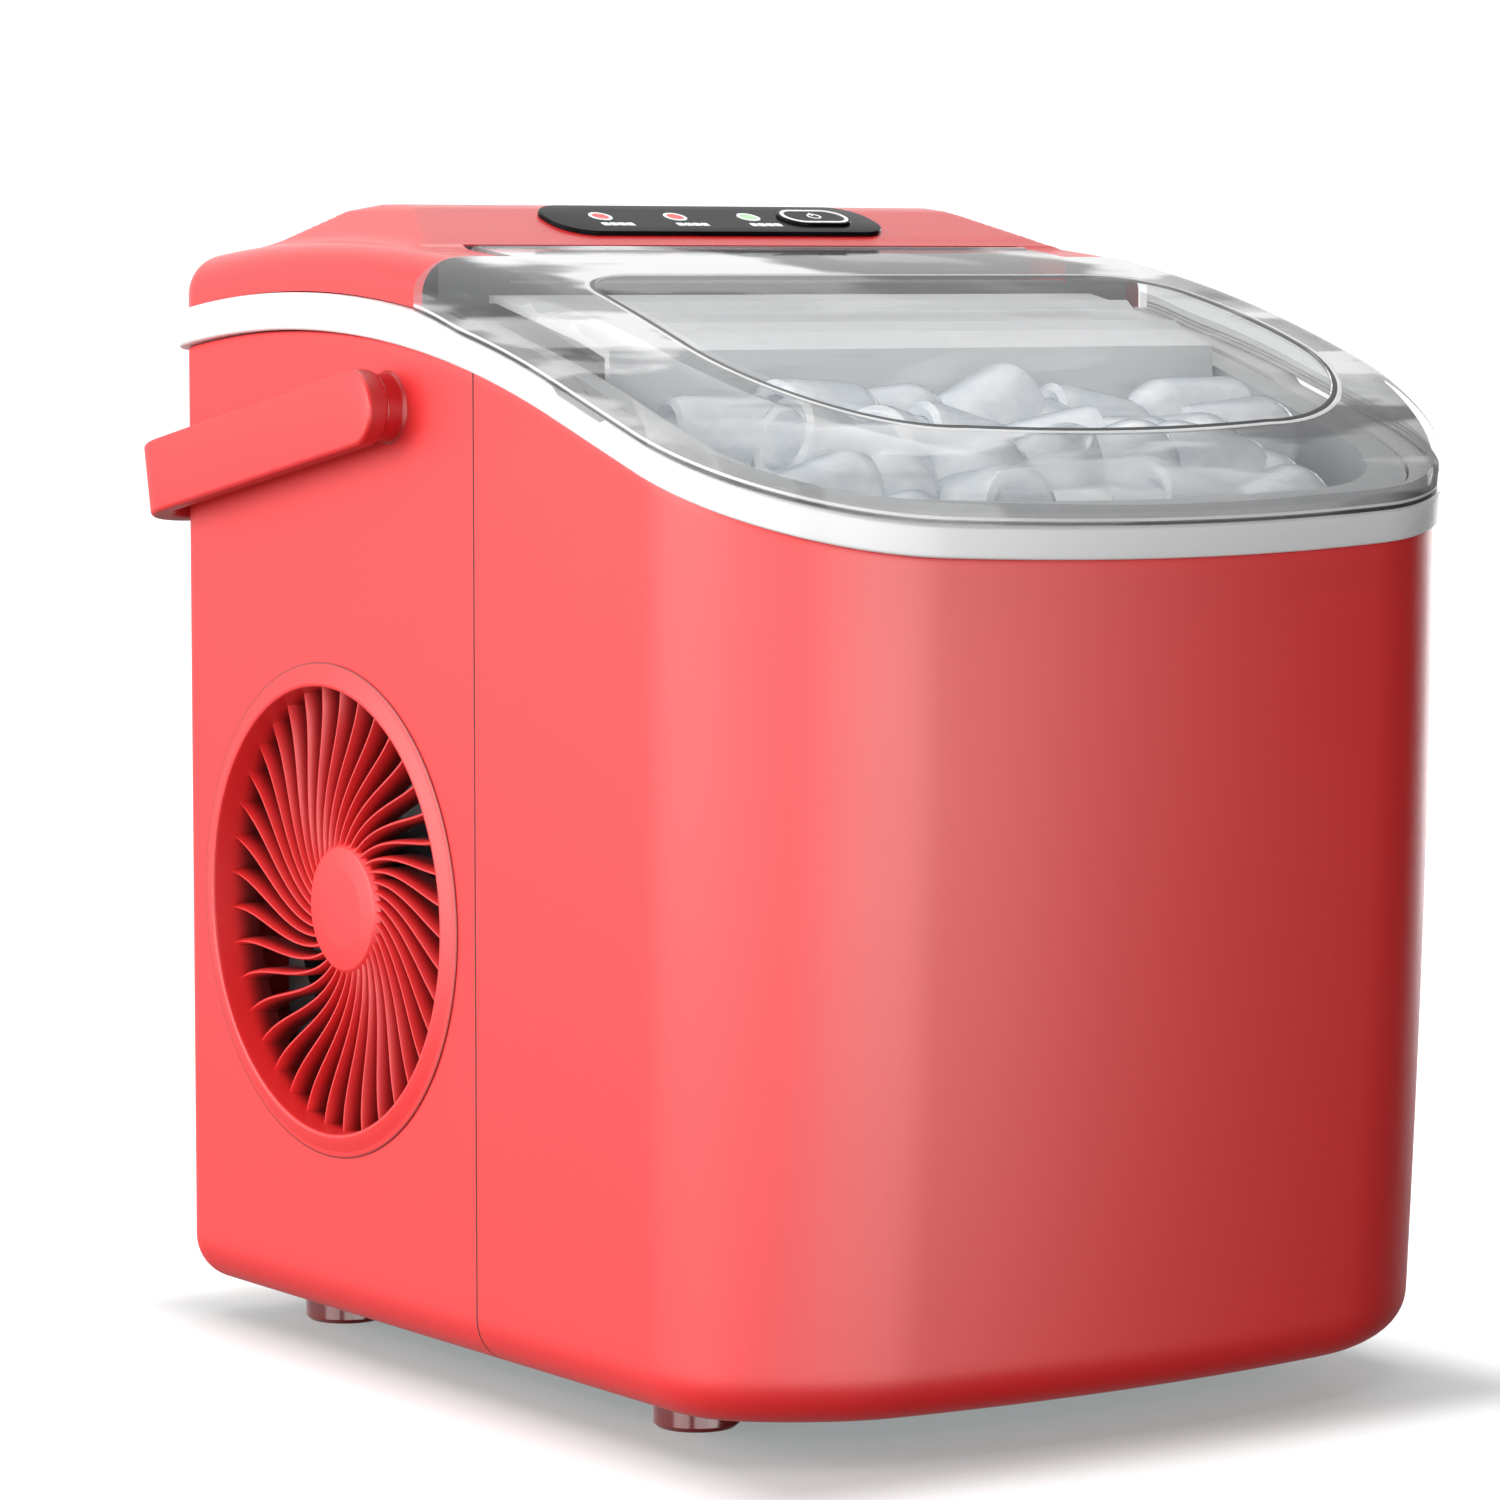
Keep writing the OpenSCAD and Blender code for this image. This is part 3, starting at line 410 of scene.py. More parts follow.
def cover_height(x, y):
    """Shoulder joined to the hump, then rounded down over the last 10 mm to the sides and the rear."""
    top = soft_max(arch(y, REAR - 63.5, 282.2), hump(x, y), 2.2)
    qx = np.clip(1 - (HALF - np.abs(x)) / REAR_R, 0, 1)
    qy = np.clip(1 - (REAR - y) / REAR_R, 0, 1)
    q = np.clip(np.hypot(qx, qy), 0, 1)
    drop = (9 * qx ** 2 + 14 * qy ** 2) / np.maximum(qx ** 2 + qy ** 2, 1e-9)
    return top - drop * (1 - np.sqrt(1 - q * q))


def cover_mesh():
    """Loops of the rounded edge, q from 1 at the wall to 0, then lines across the middle."""
    build = Build()
    side = np.unique(np.concatenate([np.linspace(WING, HUMP_Y, 12), np.linspace(HUMP_Y, REAR - REAR_R, 56)]))
    corner = np.linspace(0, PI / 2, 12)[1:]
    back = np.linspace(HALF - REAR_R, 0, 60)[1:]
    loops = []
    for q in np.sin(np.linspace(PI / 2, 0, 14)):
        r = REAR_R * q
        x = np.concatenate([HALF - REAR_R + r + 0 * side, HALF - REAR_R + r * np.cos(corner), back])
        y = np.concatenate([side, REAR - REAR_R + r * np.sin(corner), REAR - REAR_R + r + 0 * back])
        x, y = np.concatenate([x, -x[::-1][1:]]), np.concatenate([y, y[::-1][1:]])
        loops.append(np.stack([x, y, cover_height(x, y)], -1))
    foot = loops[0].copy()
    foot[:, 2] = band_top(foot[:, 1]) + LIFT
    lip = foot.copy()
    lip[:, 0] *= (HALF - 2.4) / HALF
    wall = [lip, foot] + [foot * (1 - f) + loops[0] * f for f in (0.05, 0.5)]
    build.grid(np.array(wall + loops))
    xs = np.unique(np.concatenate([np.linspace(-101, 101, 150), [-86.6, -86.4, 86.4, 86.6]]))
    ys = np.unique(np.concatenate([side, [HUMP_Y - 0.05, HUMP_Y + 0.35]]))
    gx, gy = np.meshgrid(xs, ys)
    recess = (np.abs(gx) < RECESS_X) & (gy < HUMP_Y)
    gz = np.where(recess, RECESS_Z, cover_height(gx, gy))
    keep = ~((np.abs(gx) < RECESS_X - 0.5) & (gy < HUMP_Y - 0.5))
    build.grid(np.stack([gx, gy, gz], -1), keep=keep)
    front = np.stack([xs, WING + 0 * xs, gz[0]], -1)
    foot = np.stack([xs, WING + 0 * xs, RECESS_Z - 0.5 + 0 * xs], -1)
    return build.grid(np.array([foot, front]))


cover_mesh().make("rear_cover", red_gloss, replaces=["top_cover"], sharp=40)

# ---------------------------------------------------------------------------
# Hinge trough: a grey inner moulding, fixed under the rear cover, that lines the
# recess below the lid's tongue and its barrel and closes the ends beside it.
# ---------------------------------------------------------------------------
grey_inner = moulded("grey inner plastic", colour(0.12, 0.123, 0.126), colour(0.1, 0.103, 0.106), 0.3)
TROUGH_X, TROUGH_FOOT, TROUGH_FLOOR = 86.2, 262.0, 272.6


def fillet(points, radius, steps=5):
    """A polyline of (r, h) points with its inner corners rounded by circular arcs."""
    points = [np.array(p, float) for p in points]
    out = [points[0]]
    for before, corner, after in zip(points, points[1:], points[2:]):
        a, b = before - corner, after - corner
        la, lb = np.linalg.norm(a), np.linalg.norm(b)
        a, b = a / la, b / lb
        half = math.acos(np.clip(a @ b, -1, 1)) / 2
        cut = min(radius / math.tan(max(half, 1e-3)), la * 0.45, lb * 0.45)
        r = cut * math.tan(half)
        centre = corner + (a + b) / np.linalg.norm(a + b) * math.hypot(cut, r)
        start, end = corner + a * cut - centre, corner + b * cut - centre
        t0 = math.atan2(start[1], start[0])
        turn = (math.atan2(end[1], end[0]) - t0 + PI) % (2 * PI) - PI
        out += [centre + r * np.array([math.cos(t0 + turn * k / steps), math.sin(t0 + turn * k / steps)])
                for k in range(steps + 1)]
    return np.array(out + [points[-1]])


def trough_mesh():
    """A rounded line along y and z drawn across the machine, and an upright plate at each end."""
    near, far = WING - 0.2, HUMP_Y - 0.35
    line = fillet([(near, TROUGH_FOOT), (near, TROUGH_FLOOR), (far, TROUGH_FLOOR), (far, 281.0)], 2.0, 6)
    x = np.array([-TROUGH_X, TROUGH_X]) + 0 * line[:, :1]
    build = Build().grid(np.stack([x, line[:, :1] + 0 * x, line[:, 1:] + 0 * x], -1))
    for s in (-1, 1):
        x = s * np.linspace(TROUGH_X, 106.5, 8)
        foot = np.stack([x, near + 0 * x, TROUGH_FOOT + 0 * x], -1)
        top = np.stack([x, near + 0 * x, cover_height(x, WING + 0 * x) - 0.3], -1)
        build.grid(np.array([foot, top]), flip=s < 0)
    return build


trough_mesh().make("hinge_trough", grey_inner)

# ---------------------------------------------------------------------------
# Lid: a clear smoke-grey moulding, arched along its length, with a deep round
# edge, a tongue at the rear that ends in the hinge barrel, and a raised window
# that snaps into it. A dark joint shows round the window, with a painted
# highlight just outside it.
# ---------------------------------------------------------------------------
HINGE_Y, HINGE_Z = REAR - 108.3, 277.9
# Half width of the tongue, how far the skirt stands out from the casing, and the lid's thickness
TONGUE, LID_OUT, LID_WALL = 85.5, 2.6, 2.4
LID_REAR = WING - 0.3


def clear_plastic(name, tint, alpha, edge_alpha, streaks, roughness=0.05):
    """Clear plastic seen as a tinted film, more solid where it is seen edge-on.

    Long pale and dark streaks stand for the bending of light in the thick rounded edge.
    """
    net = Net(name)
    layer = net.node("ShaderNodeLayerWeight", {}, {"Blend": 0.32}, 1)
    slow = net.noise(14.0, 2.0)
    streak = net.noise(9.0, 3.0, (1.0, 1.0, 9.0))
    edge = layer.over(0.1, 0.6, 0.15, streaks)
    pale, dark = streak.over(0.54, 0.6) * edge, streak.over(0.46, 0.4) * edge
    opacity = layer.over(0.0, 0.85, alpha, edge_alpha) + pale * 0.35 + dark * 0.45
    tone = net.mix(slow.over(0.3, 0.7), tint, colour(*[c * 0.93 for c in tint[:3]]))
    tone = net.mix(dark, net.mix(pale, tone, colour(0.9, 0.9, 0.91)), colour(0.06, 0.06, 0.065))
    return net.set(Base_Color=tone, Roughness=slow.over(0.2, 0.8, roughness, roughness * 1.4), Alpha=opacity,
                   Specular_IOR_Level=0.6, Normal=net.bump(slow, 0.15, 0.0006))


lid_plastic = clear_plastic("clear grey plastic", colour(0.19, 0.193, 0.196), 0.26, 0.68, 0.9)
window_plastic = clear_plastic("clear window plastic", colour(0.3, 0.305, 0.31), 0.08, 0.34, 0.35)
seal_dark = moulded("dark seam", colour(0.02, 0.02, 0.022), colour(0.012, 0.012, 0.014), 0.3)
painted_highlight = moulded("painted highlight on lid edges", colour(0.95, 0.95, 0.96), colour(0.86, 0.86, 0.87), 0.15, Alpha=0.7)
skirt_grey = moulded("dark lid edge", colour(0.05, 0.05, 0.055), colour(0.035, 0.035, 0.04), 0.2, Alpha=0.6)

lid_half = OUTLINE[OUTLINE[:, 1] <= WING - 0.2]
lid_rim = np.concatenate([mirrored(lid_half), lid_half[1:]])


def lid_top(y):
    return arch(y, REAR - 57.5, 283.5)


def lid_loops(inset):
    """Loops of the round edge, q from 1 at the skirt to 0: inset w(1 - q), drop h(1 - sqrt(1 - q^2))."""
    x, y, nx, ny = lid_rim.T
    width = 15 + 5 * np.clip(-ny, 0, 1)
    loops = []
    for q in np.sin(np.linspace(PI / 2, 0, 20)):
        total = -LID_OUT + inset + width * (1 - q)
        px, py = x - nx * total, np.minimum(y - ny * total, LID_REAR)
        top = lid_top(py) - inset
        height = np.clip(top - band_top(py) - 4.5, 4, 20)
        loops.append(np.stack([px, py, top - height * (1 - math.sqrt(1 - min(q, 1) ** 2))], -1))
    return loops


def lid_foot(loop, level):
    """A loop of the skirt brought down to a level above the band."""
    return np.column_stack([loop[:, :2], band_top(loop[:, 1]) + LIFT + level])


def window_loop(inset):
    """The window's outline: nearly straight sides, a slightly bulged front and round corners."""
    half, front, rear = 91.0 - inset, FRONT + 20.9 + inset, WING - 28.8 - inset
    r_front, r_rear = 46.0 - inset, 20.0 - inset
    start = front + 2.6
    x = np.linspace(0, half - r_front, 30)
    bulge = 2.6 * (1 - (x / (half - r_front)) ** 2)
    pieces = [np.stack([x, start - bulge], -1)]
    a = np.linspace(0, PI / 2, 26)[1:]
    pieces.append(np.stack([half - r_front + r_front * np.sin(a), start + r_front * (1 - np.cos(a))], -1))
    y = np.linspace(start + r_front, rear - r_rear, 44)[1:]
    pieces.append(np.stack([half + 0 * y - 2.0 * ((y - y[0]) / (y[-1] - y[0])) ** 2, y], -1))
    pieces.append(np.stack([half - 2 - r_rear + r_rear * np.cos(a), rear - r_rear + r_rear * np.sin(a)], -1))
    x = np.linspace(half - 2 - r_rear, 0, 24)[1:]
    pieces.append(np.stack([x, rear + 0 * x], -1))
    return np.concatenate(pieces)


def window_outline(inset):
    """The whole outline, both halves, counter-clockwise."""
    half = window_loop(inset)
    return np.concatenate([half, half[::-1][1:-1] * np.array([-1, 1])])


def ring_to(outer, inner, centre):
    """Grid between a closed outer loop and an inner outline, both seen from centre.

    At each outer point's angle the radius runs from r_outer to r_inner; z follows the lid.
    """
    cx, cy = centre
    angle = np.arctan2(outer[:, 1] - cy, outer[:, 0] - cx)
    reach = np.hypot(outer[:, 0] - cx, outer[:, 1] - cy)
    inner_angle = np.arctan2(inner[:, 1] - cy, inner[:, 0] - cx)
    inner_reach = np.hypot(inner[:, 0] - cx, inner[:, 1] - cy)
    near = np.interp(angle, *np.array(sorted(zip(inner_angle, inner_reach))).T, period=2 * PI)
    rows = []
    for t in np.linspace(0, 1, 14):
        r = reach * (1 - t) + near * t
        y = cy + r * np.sin(angle)
        rows.append(np.stack([cx + r * np.cos(angle), y, lid_top(y)], -1))
    return np.array(rows)


def lathe(profile, segments=96, axis="z", at=(0, 0, 0), sign=1):
    """Points of a profile of (radius, height) turned about an axis: (r cos a, r sin a, h)."""
    profile = np.asarray(profile, float)
    a = np.linspace(0, 2 * PI, segments, endpoint=False)
    r, h = profile[:, 0][:, None], profile[:, 1][:, None] + 0 * a
    u, v = r * np.cos(a), r * np.sin(a)
    order = (u, v, h) if axis == "z" else (h * sign, u, v)
    return np.stack(order, -1) + np.asarray(at, float)


def lid_mesh():
    """The skirt and the round edge, the top out to the window, the tongue, the rear ends and the barrel."""
    build = Build()
    outer, inner = lid_loops(0.0), lid_loops(LID_WALL)
    foot = lid_foot(outer[0], 0.0)
    skirt = [inner[0], lid_foot(inner[0], 0.0), foot, foot + np.array([0, 0, 0.5]), (foot + outer[0]) / 2]
    build.grid(np.array(skirt + outer))
    x = np.linspace(outer[-1][-1, 0], outer[-1][0, 0], 40)[1:-1]
    y = np.full_like(x, LID_REAR)
    rim = np.concatenate([outer[-1], np.column_stack([x, y, lid_top(y)])])
    build.grid(ring_to(rim, window_outline(0.2), (0.0, FRONT + 75)), wrap_u=True)
    ys = np.linspace(LID_REAR, HINGE_Y + 0.6, 10)
    gx, gy = np.meshgrid(np.linspace(-TONGUE, TONGUE, 60), ys)
    build.grid(np.stack([gx, gy, lid_top(gy)], -1))
    ends = np.linspace(TONGUE, HALF - 14, 8)
    for s in (-1, 1):
        side = np.stack([s * TONGUE + 0 * ys, ys, lid_top(ys)], -1)
        rear = np.stack([s * ends, LID_REAR + 0 * ends, lid_top(LID_REAR) + 0 * ends], -1)
        for line in (side, rear):
            build.grid(np.array([line, line - np.array([0, 0, LID_WALL])]), flip=s < 0)
    barrel = fillet([(0.0, -TONGUE), (3.3, -TONGUE), (3.3, TONGUE), (0.0, TONGUE)], 0.6)
    return build.grid(lathe(barrel, 40, "x", (0, HINGE_Y, HINGE_Z)), wrap_u=True, flip=True)


lid_mesh().make("clear_lid", lid_plastic, body="lid_door", replaces=["lid"], sharp=50)


def window_strip(outline, flip=False):
    """Grid round the window: outline lists an inset from its edge and a rise over the lid's surface."""
    loops = []
    for inset, rise in outline:
        loop = window_outline(inset)
        loops.append(np.column_stack([loop, lid_top(loop[:, 1]) + rise]))
    return Build().grid(np.array(loops), wrap_u=True, flip=flip)


def window_mesh():
    """A plate that follows the lid's arch and stands 0.9 mm proud, its edge rounded."""
    edge, proud = 1.4, 0.9
    build = window_strip([(0.0, -1.4), (0.0, -0.1), (0.1, 0.35), (0.35, 0.65), (0.8, 0.85), (edge, proud)])
    half = window_loop(edge)
    right = np.column_stack([half, lid_top(half[:, 1]) + proud])
    left = right * np.array([-1, 1, 1])
    f = np.linspace(0, 1, 31)[None, :, None]
    return build.grid(left[:, None] * (1 - f) + right[:, None] * f)


def lid_line(low, high):
    """A strip round the lid's skirt, from low to high above its foot, 0.02 mm proud of it."""
    skirt = lid_loops(-0.02)[0]
    return Build().grid(np.array([lid_foot(skirt, low), lid_foot(skirt, high)]))


window_mesh().make("raised_window", window_plastic, body="lid_door", replaces=["lid_window"], sharp=50)
joint = [(0.15, -0.5), (0.15, 0.12), (-0.45, 0.18), (-1.05, 0.06), (-1.05, -0.5)]
window_strip(joint, flip=True).make("window_seam", seal_dark, body="lid_door")
# Painted highlight: a bright strip just outside the window's joint, standing for light caught on its rim
edge = [(-1.1, -0.4), (-1.1, 0.06), (-1.6, 0.2), (-2.2, 0.05), (-2.2, -0.4)]
window_strip(edge, flip=True).make("window_rim_painted_highlight", painted_highlight, body="lid_door")
lid_line(0.15, 0.75).make("lid_foot_line", skirt_grey, body="lid_door")
# Painted highlight: a bright strip along the skirt, just above the dark line at its foot
lid_line(1.0, 1.7).make("lid_foot_painted_highlight", painted_highlight, body="lid_door")

# ---------------------------------------------------------------------------
# Control panel: a gloss black strip let into the hump's slope, printed white, with
# two red lamps and a green one in rings, small bars below them, and an oval key
# that presses in.
# ---------------------------------------------------------------------------
PANEL_LENGTH, PANEL_WIDTH = 23.5, 102.0
MIDDLE = PANEL_LENGTH / 2
LAMP_X, LAMP_R, LAMP_Y = (-34.0, -11.0, 12.0), 2.2, MIDDLE + 1.2
KEY_X = 32.0
# Heights over the hump's slope: the panel's face and the top of the key
FACE_Z, KEY_Z = 1.2, 1.95

panel_net = Net("gloss black panel")
panel_speck = panel_net.noise(30.0, 2.0)
panel_tone = panel_net.mix(
    panel_speck.over(0.3, 0.7), colour(0.004, 0.004, 0.005), colour(0.008, 0.008, 0.009))
panel_black = panel_net.set(Base_Color=panel_tone, Roughness=panel_speck.over(0.2, 0.8, 0.2, 0.26),
                            Specular_IOR_Level=0.06)


def printed(name, tone, glow):
    """Ink or a lamp's lens: a plain colour with a faint grain, which glows a little; on the ink the glow is
    painted light.
    """
    net = Net(name)
    grain = net.noise(900.0, 2.0)
    mixed = net.mix(grain.over(0.3, 0.7), tone, colour(*[c * 0.85 for c in tone[:3]]))
    return net.set(Base_Color=mixed, Roughness=0.35, Emission_Color=mixed, Emission_Strength=glow)


# Painted glow: the white ink glows a little
white_print_painted_glow = printed("white print with painted glow", colour(0.85, 0.86, 0.86), 0.25)
lamp_red = printed("red lamp", colour(0.8, 0.05, 0.05), 0.6)
lamp_green = printed("green lamp", colour(0.35, 0.6, 0.35), 0.4)


def on_panel(points):
    """Panel coordinates (x across, y up the slope, z out of it) to millimetres in the frame."""
    c, s = math.cos(PANEL_TILT), math.sin(PANEL_TILT)
    x, y, z = np.asarray(points, float).reshape(-1, 3).T
    return np.stack([x, PANEL_Y + y * c - z * s, PANEL_Z + y * s + z * c], -1).reshape(np.shape(points))


def stadium(half_x, half_y, radius):
    """Rounded rectangle about the origin, counter-clockwise from the right: corners of 14 points."""
    a = np.linspace(0, PI / 2, 14)
    out = []
    for k, (sx, sy) in enumerate(((1, 1), (-1, 1), (-1, -1), (1, -1))):
        t = a + k * PI / 2
        x, y = sx * (half_x - radius) + radius * np.cos(t), sy * (half_y - radius) + radius * np.sin(t)
        out.append(np.stack([x, y], -1))
    return np.concatenate(out)


def panel_loops(half_x, half_y, radius, rings, centre):
    """Rounded rectangles on the panel: rings lists the inset and the height of each."""
    loops = []
    for inset, z in rings:
        loop = stadium(half_x - inset, half_y - inset, radius - inset)
        loops.append(np.column_stack([loop + centre, z + 0 * loop[:, 0]]))
    return loops


def plate(build, half_x, half_y, radius, low, high, centre, edge=0.5):
    """A plate with a rounded upper edge on the panel, closed by a fan to its middle."""
    arc = np.linspace(0, PI / 2, 6)
    rings = [(0.0, low)] + [(edge * (1 - math.cos(a)), high - edge + edge * math.sin(a)) for a in arc]
    loops = panel_loops(half_x, half_y, radius, rings, centre)
    middle = np.array([*centre, high])
    loops += [loops[-1] * (1 - f) + middle * f for f in (0.35, 0.7, 1.0)]
    return build.grid(on_panel(np.array(loops)), wrap_u=True)


def ring(build, half_x, half_y, radius, width, z, centre):
    """A line 0.14 mm high along a rounded rectangle."""
    rings = [(0, z - 0.2), (0, z + 0.14), (width, z + 0.14), (width, z - 0.2)]
    return build.grid(on_panel(np.array(panel_loops(half_x, half_y, radius, rings, centre))), wrap_u=True)


def lamps(places):
    build = Build()
    for x in places:
        plate(build, LAMP_R, LAMP_R, LAMP_R, 0.8, FACE_Z + 0.12, (x, LAMP_Y), 0.2)
    return build


panel_face = plate(Build(), PANEL_WIDTH / 2, PANEL_LENGTH / 2 - 0.6, 9.5, -0.5, FACE_Z, (0, MIDDLE))
panel_face.make("panel_face", panel_black, replaces=["control_panel"])
lamps(LAMP_X[:2]).make("red_lamps", lamp_red, replaces=["indicator_lights"])
lamps(LAMP_X[2:]).make("green_lamp", lamp_green)
marks = Build()
for x in LAMP_X:
    ring(marks, 3.2, 3.2, 3.2, 0.9, FACE_Z, (x, LAMP_Y))
    for k in range(4):
        plate(marks, 1.05, 1.15, 0.3, FACE_Z - 0.1, FACE_Z + 0.12, (x - 2.2 + 2.5 * k, MIDDLE - 5.2), 0.1)
marks.make("panel_marks", white_print_painted_glow)
power_key = plate(Build(), 10.9, 5.9, 5.9, 0.75, KEY_Z, (KEY_X, MIDDLE), 0.4)
power_key.make("power_key", panel_black, body="button", replaces=["power_button"])
key_marks = Build()
ring(key_marks, 10.0, 5.3, 5.3, 1.0, KEY_Z, (KEY_X, MIDDLE))
ring(key_marks, 2.0, 2.0, 2.0, 0.45, KEY_Z, (KEY_X, MIDDLE))
plate(key_marks, 0.3, 1.1, 0.3, KEY_Z - 0.1, KEY_Z + 0.15, (KEY_X, MIDDLE + 1.6), 0.08)
key_marks.make("key_marks", white_print_painted_glow, body="button")

# ---------------------------------------------------------------------------
# Vents: on each side a red moulding pressed into the casing's hole. Its ring flares
# to a bright lip, and thin fins swirl from a domed hub out to the ring; painted
# shade darkens the space between them.
# ---------------------------------------------------------------------------
# Radii of the lip, of the ring and of the part that sits in the hole, and the depth of its back
LIP_R, RING_R, FINS = 56.6, 62.8, 38
SOCKET_R, VENT_BACK = 59.2, -11.9


def vent_profile():
    """Section of the ring: flange, flare 1.8 mm outward to the lip, then the inner wall."""
    outer = [(SOCKET_R, VENT_BACK), (SOCKET_R, 0.0), (RING_R - 0.1, 0.05), (RING_R, 0.35),
             (RING_R - 1.6, 0.55), (LIP_R + 2.4, 1.35), (LIP_R + 0.9, 1.78), (LIP_R + 0.1, 1.6),
             (LIP_R, 0.9), (LIP_R, VENT_BACK), (SOCKET_R, VENT_BACK)]
    return fillet(outer, 0.35, 4)


def fin_points():
    """One fin: its line turns by 1.2 (1 - r/R)^2 from the rim to the hub.

    It is 2 mm thick at the back and 0.5 mm at the front.
    """
    r = np.linspace(13, LIP_R + 0.6, 22)
    middle = 1.2 * (1 - np.minimum(1, r / LIP_R)) ** 2
    left = [(-1.0, -11.8), (-0.9, -7.0), (-0.6, -4.8), (-0.25, -4.1)]
    rows = []
    for across, z in left + [(-across, z) for across, z in left[::-1]]:
        a = middle + across / r
        rows.append(np.stack([r * np.cos(a), r * np.sin(a), z - 0.5 * (1 - r / LIP_R) + 0 * r], -1))
    return np.array(rows)


def spin(points, count):
    """The points turned to each of count equal angles about z."""
    a = np.arange(count) * 2 * PI / count
    c, s = np.cos(a)[:, None, None], np.sin(a)[:, None, None]
    x, y, z = points[..., 0][None], points[..., 1][None], points[..., 2][None] + 0 * c
    return np.stack([x * c - y * s, x * s + y * c, z], -1)


def vent_joint_and_shade(net):
    """1 in the dark joint round the ring and, as painted shade, deep between the fins; 0 on the lip and the
    fins' front edges.
    """
    y, z = net.part(1) - VENT_Y * 0.001, net.part(2) - VENT_Z * 0.001
    joint = (y * y + z * z).op("SQRT").over(0.0621, 0.0625) * 0.75
    # Painted shade: darker deep between the fins, lighter towards the fins' front edges
    deep = (1 - net.part(0).op("ABSOLUTE").over(0.1010, 0.1072)) * 0.92
    return joint.op("MAXIMUM", deep)


red_vent = red_casing("satin red vent with painted shade", vent_joint_and_shade)


def vent(side, node, name):
    """The grille on one side: its z points out of the casing."""
    def place(points):
        x, y, z = points[..., 0], points[..., 1], points[..., 2]
        return np.stack([side * (HALF + z), VENT_Y + y, VENT_Z - side * x], -1)
    build = Build().grid(place(lathe(vent_profile(), 144)), wrap_u=True, flip=True)
    for fin in spin(fin_points(), FINS):
        build.grid(place(fin))
    hub = fillet([(17.0, -11.8), (17.0, -5.4), (15.6, -4.0), (10, -3.4), (0.0, -3.2)], 1.0, 4)
    build.grid(place(lathe(hub, 72)), wrap_u=True)
    build.make(name, red_vent, replaces=[node], sharp=45)


vent(-1, "left_vent_grille", "left_vent")
vent(1, "right_vent_grille", "right_vent")

# ---------------------------------------------------------------------------
# Carry handle: a red strap moulded as a U with round ends, which turns on a boss
# screwed to each side; it is stowed sloping down to the rear.
# ---------------------------------------------------------------------------
PIVOT_Y, PIVOT_Z = REAR - 108.5, 241.5
STOW = math.radians(11)
# Half height of the strap and the radius of its edges
ARM, EDGE_R = 9.5, 1.2
# Across the machine and along the arm: the strap's outer and inner faces, and their corners
OUTER_X, OUTER_L, OUTER_R = 122.0, 122.5, 22.0
INNER_X, INNER_L, INNER_R = 116.5, 114.5, 14.0


def handle_line():
    """Half the U from the pivot to the middle of the grip: x and l of its outer and inner faces.

    The line runs along the arm, round the corner as centre + r (cos a, sin a), and along the grip.
    """
    ends = -ARM * np.cos(np.linspace(0, PI / 2, 16))
    arm = np.linspace(0, OUTER_L - OUTER_R, 40)[1:]
    line = [(OUTER_X, l, INNER_X, l) for l in np.concatenate([ends, arm])]
    for a in np.linspace(0, PI / 2, 24)[1:]:
        line.append((OUTER_X - OUTER_R + OUTER_R * math.cos(a), OUTER_L - OUTER_R + OUTER_R * math.sin(a),
                     INNER_X - INNER_R + INNER_R * math.cos(a), INNER_L - INNER_R + INNER_R * math.sin(a)))
    for x in np.linspace(INNER_X - INNER_R, 0, 30)[1:]:
        line.append((min(x, OUTER_X - OUTER_R), OUTER_L, x, INNER_L))
    return np.array(line)


def handle_mesh():
    """Rounded-rectangle section carried along half the U, then mirrored.

    Behind the pivot the half height falls as sqrt(r^2 - l^2) to make the round end.
    """
    line = handle_line()
    behind = np.minimum(line[:, 1], 0)
    half_height = np.sqrt(np.maximum(ARM ** 2 - behind ** 2, 0))
    across = line[:, 2:] - line[:, :2]
    across = across / np.hypot(*across.T)[:, None]
    arc = np.linspace(0, PI / 2, 7)
    corners = [(EDGE_R * (1 - math.cos(t)), EDGE_R * (1 - math.sin(t))) for t in arc]
    path = [(0, inset, lower) for inset, lower in corners]
    path += [(1, inset, lower) for inset, lower in corners[::-1]]
    loop = [(side, inset, lower, 1) for side, inset, lower in path]
    loop += [(1 - side, inset, lower, -1) for side, inset, lower in path]
    rows = []
    for side, inset, lower, up in loop:
        base, toward = (line[:, 2:], -1) if side else (line[:, :2], 1)
        z = up * np.maximum(half_height - lower, 0)
        rows.append(np.column_stack([base + across * inset * toward, z]))
    half = np.array(rows)
    mirror = half[:, ::-1] * np.array([-1, 1, 1])
    x, l, h = np.moveaxis(np.concatenate([half, mirror[:, 1:]], axis=1), -1, 0)
    c, s = math.cos(STOW), math.sin(STOW)
    return Build().grid(np.stack([x, PIVOT_Y + l * c + h * s, PIVOT_Z - l * s + h * c], -1), wrap_v=True)


def handle_painted_shade(net):
    """Painted shade: 0 on the outer face, 1 on the edges and the inside: distance from the line the corners
    turn about.
    """
    y, z = net.part(1) - PIVOT_Y * 0.001, net.part(2) - PIVOT_Z * 0.001
    along = y * math.cos(STOW) - z * math.sin(STOW)
    out_x = (net.part(0).op("ABSOLUTE") - (OUTER_X - OUTER_R) * 0.001).op("MAXIMUM", 0.0)
    out_l = (along - (OUTER_L - OUTER_R) * 0.001).op("MAXIMUM", 0.0)
    return 1 - (out_x * out_x + out_l * out_l).op("SQRT").over(0.0207, 0.0217)


def lathe_object(name, profile, material, axis, at, sign, node):
    """A turned piece that takes the place of a CAD node."""
    build = Build().grid(lathe(profile, 96, axis, at, sign), wrap_u=True, flip=sign < 0)
    return build.make(name, material, replaces=[node])
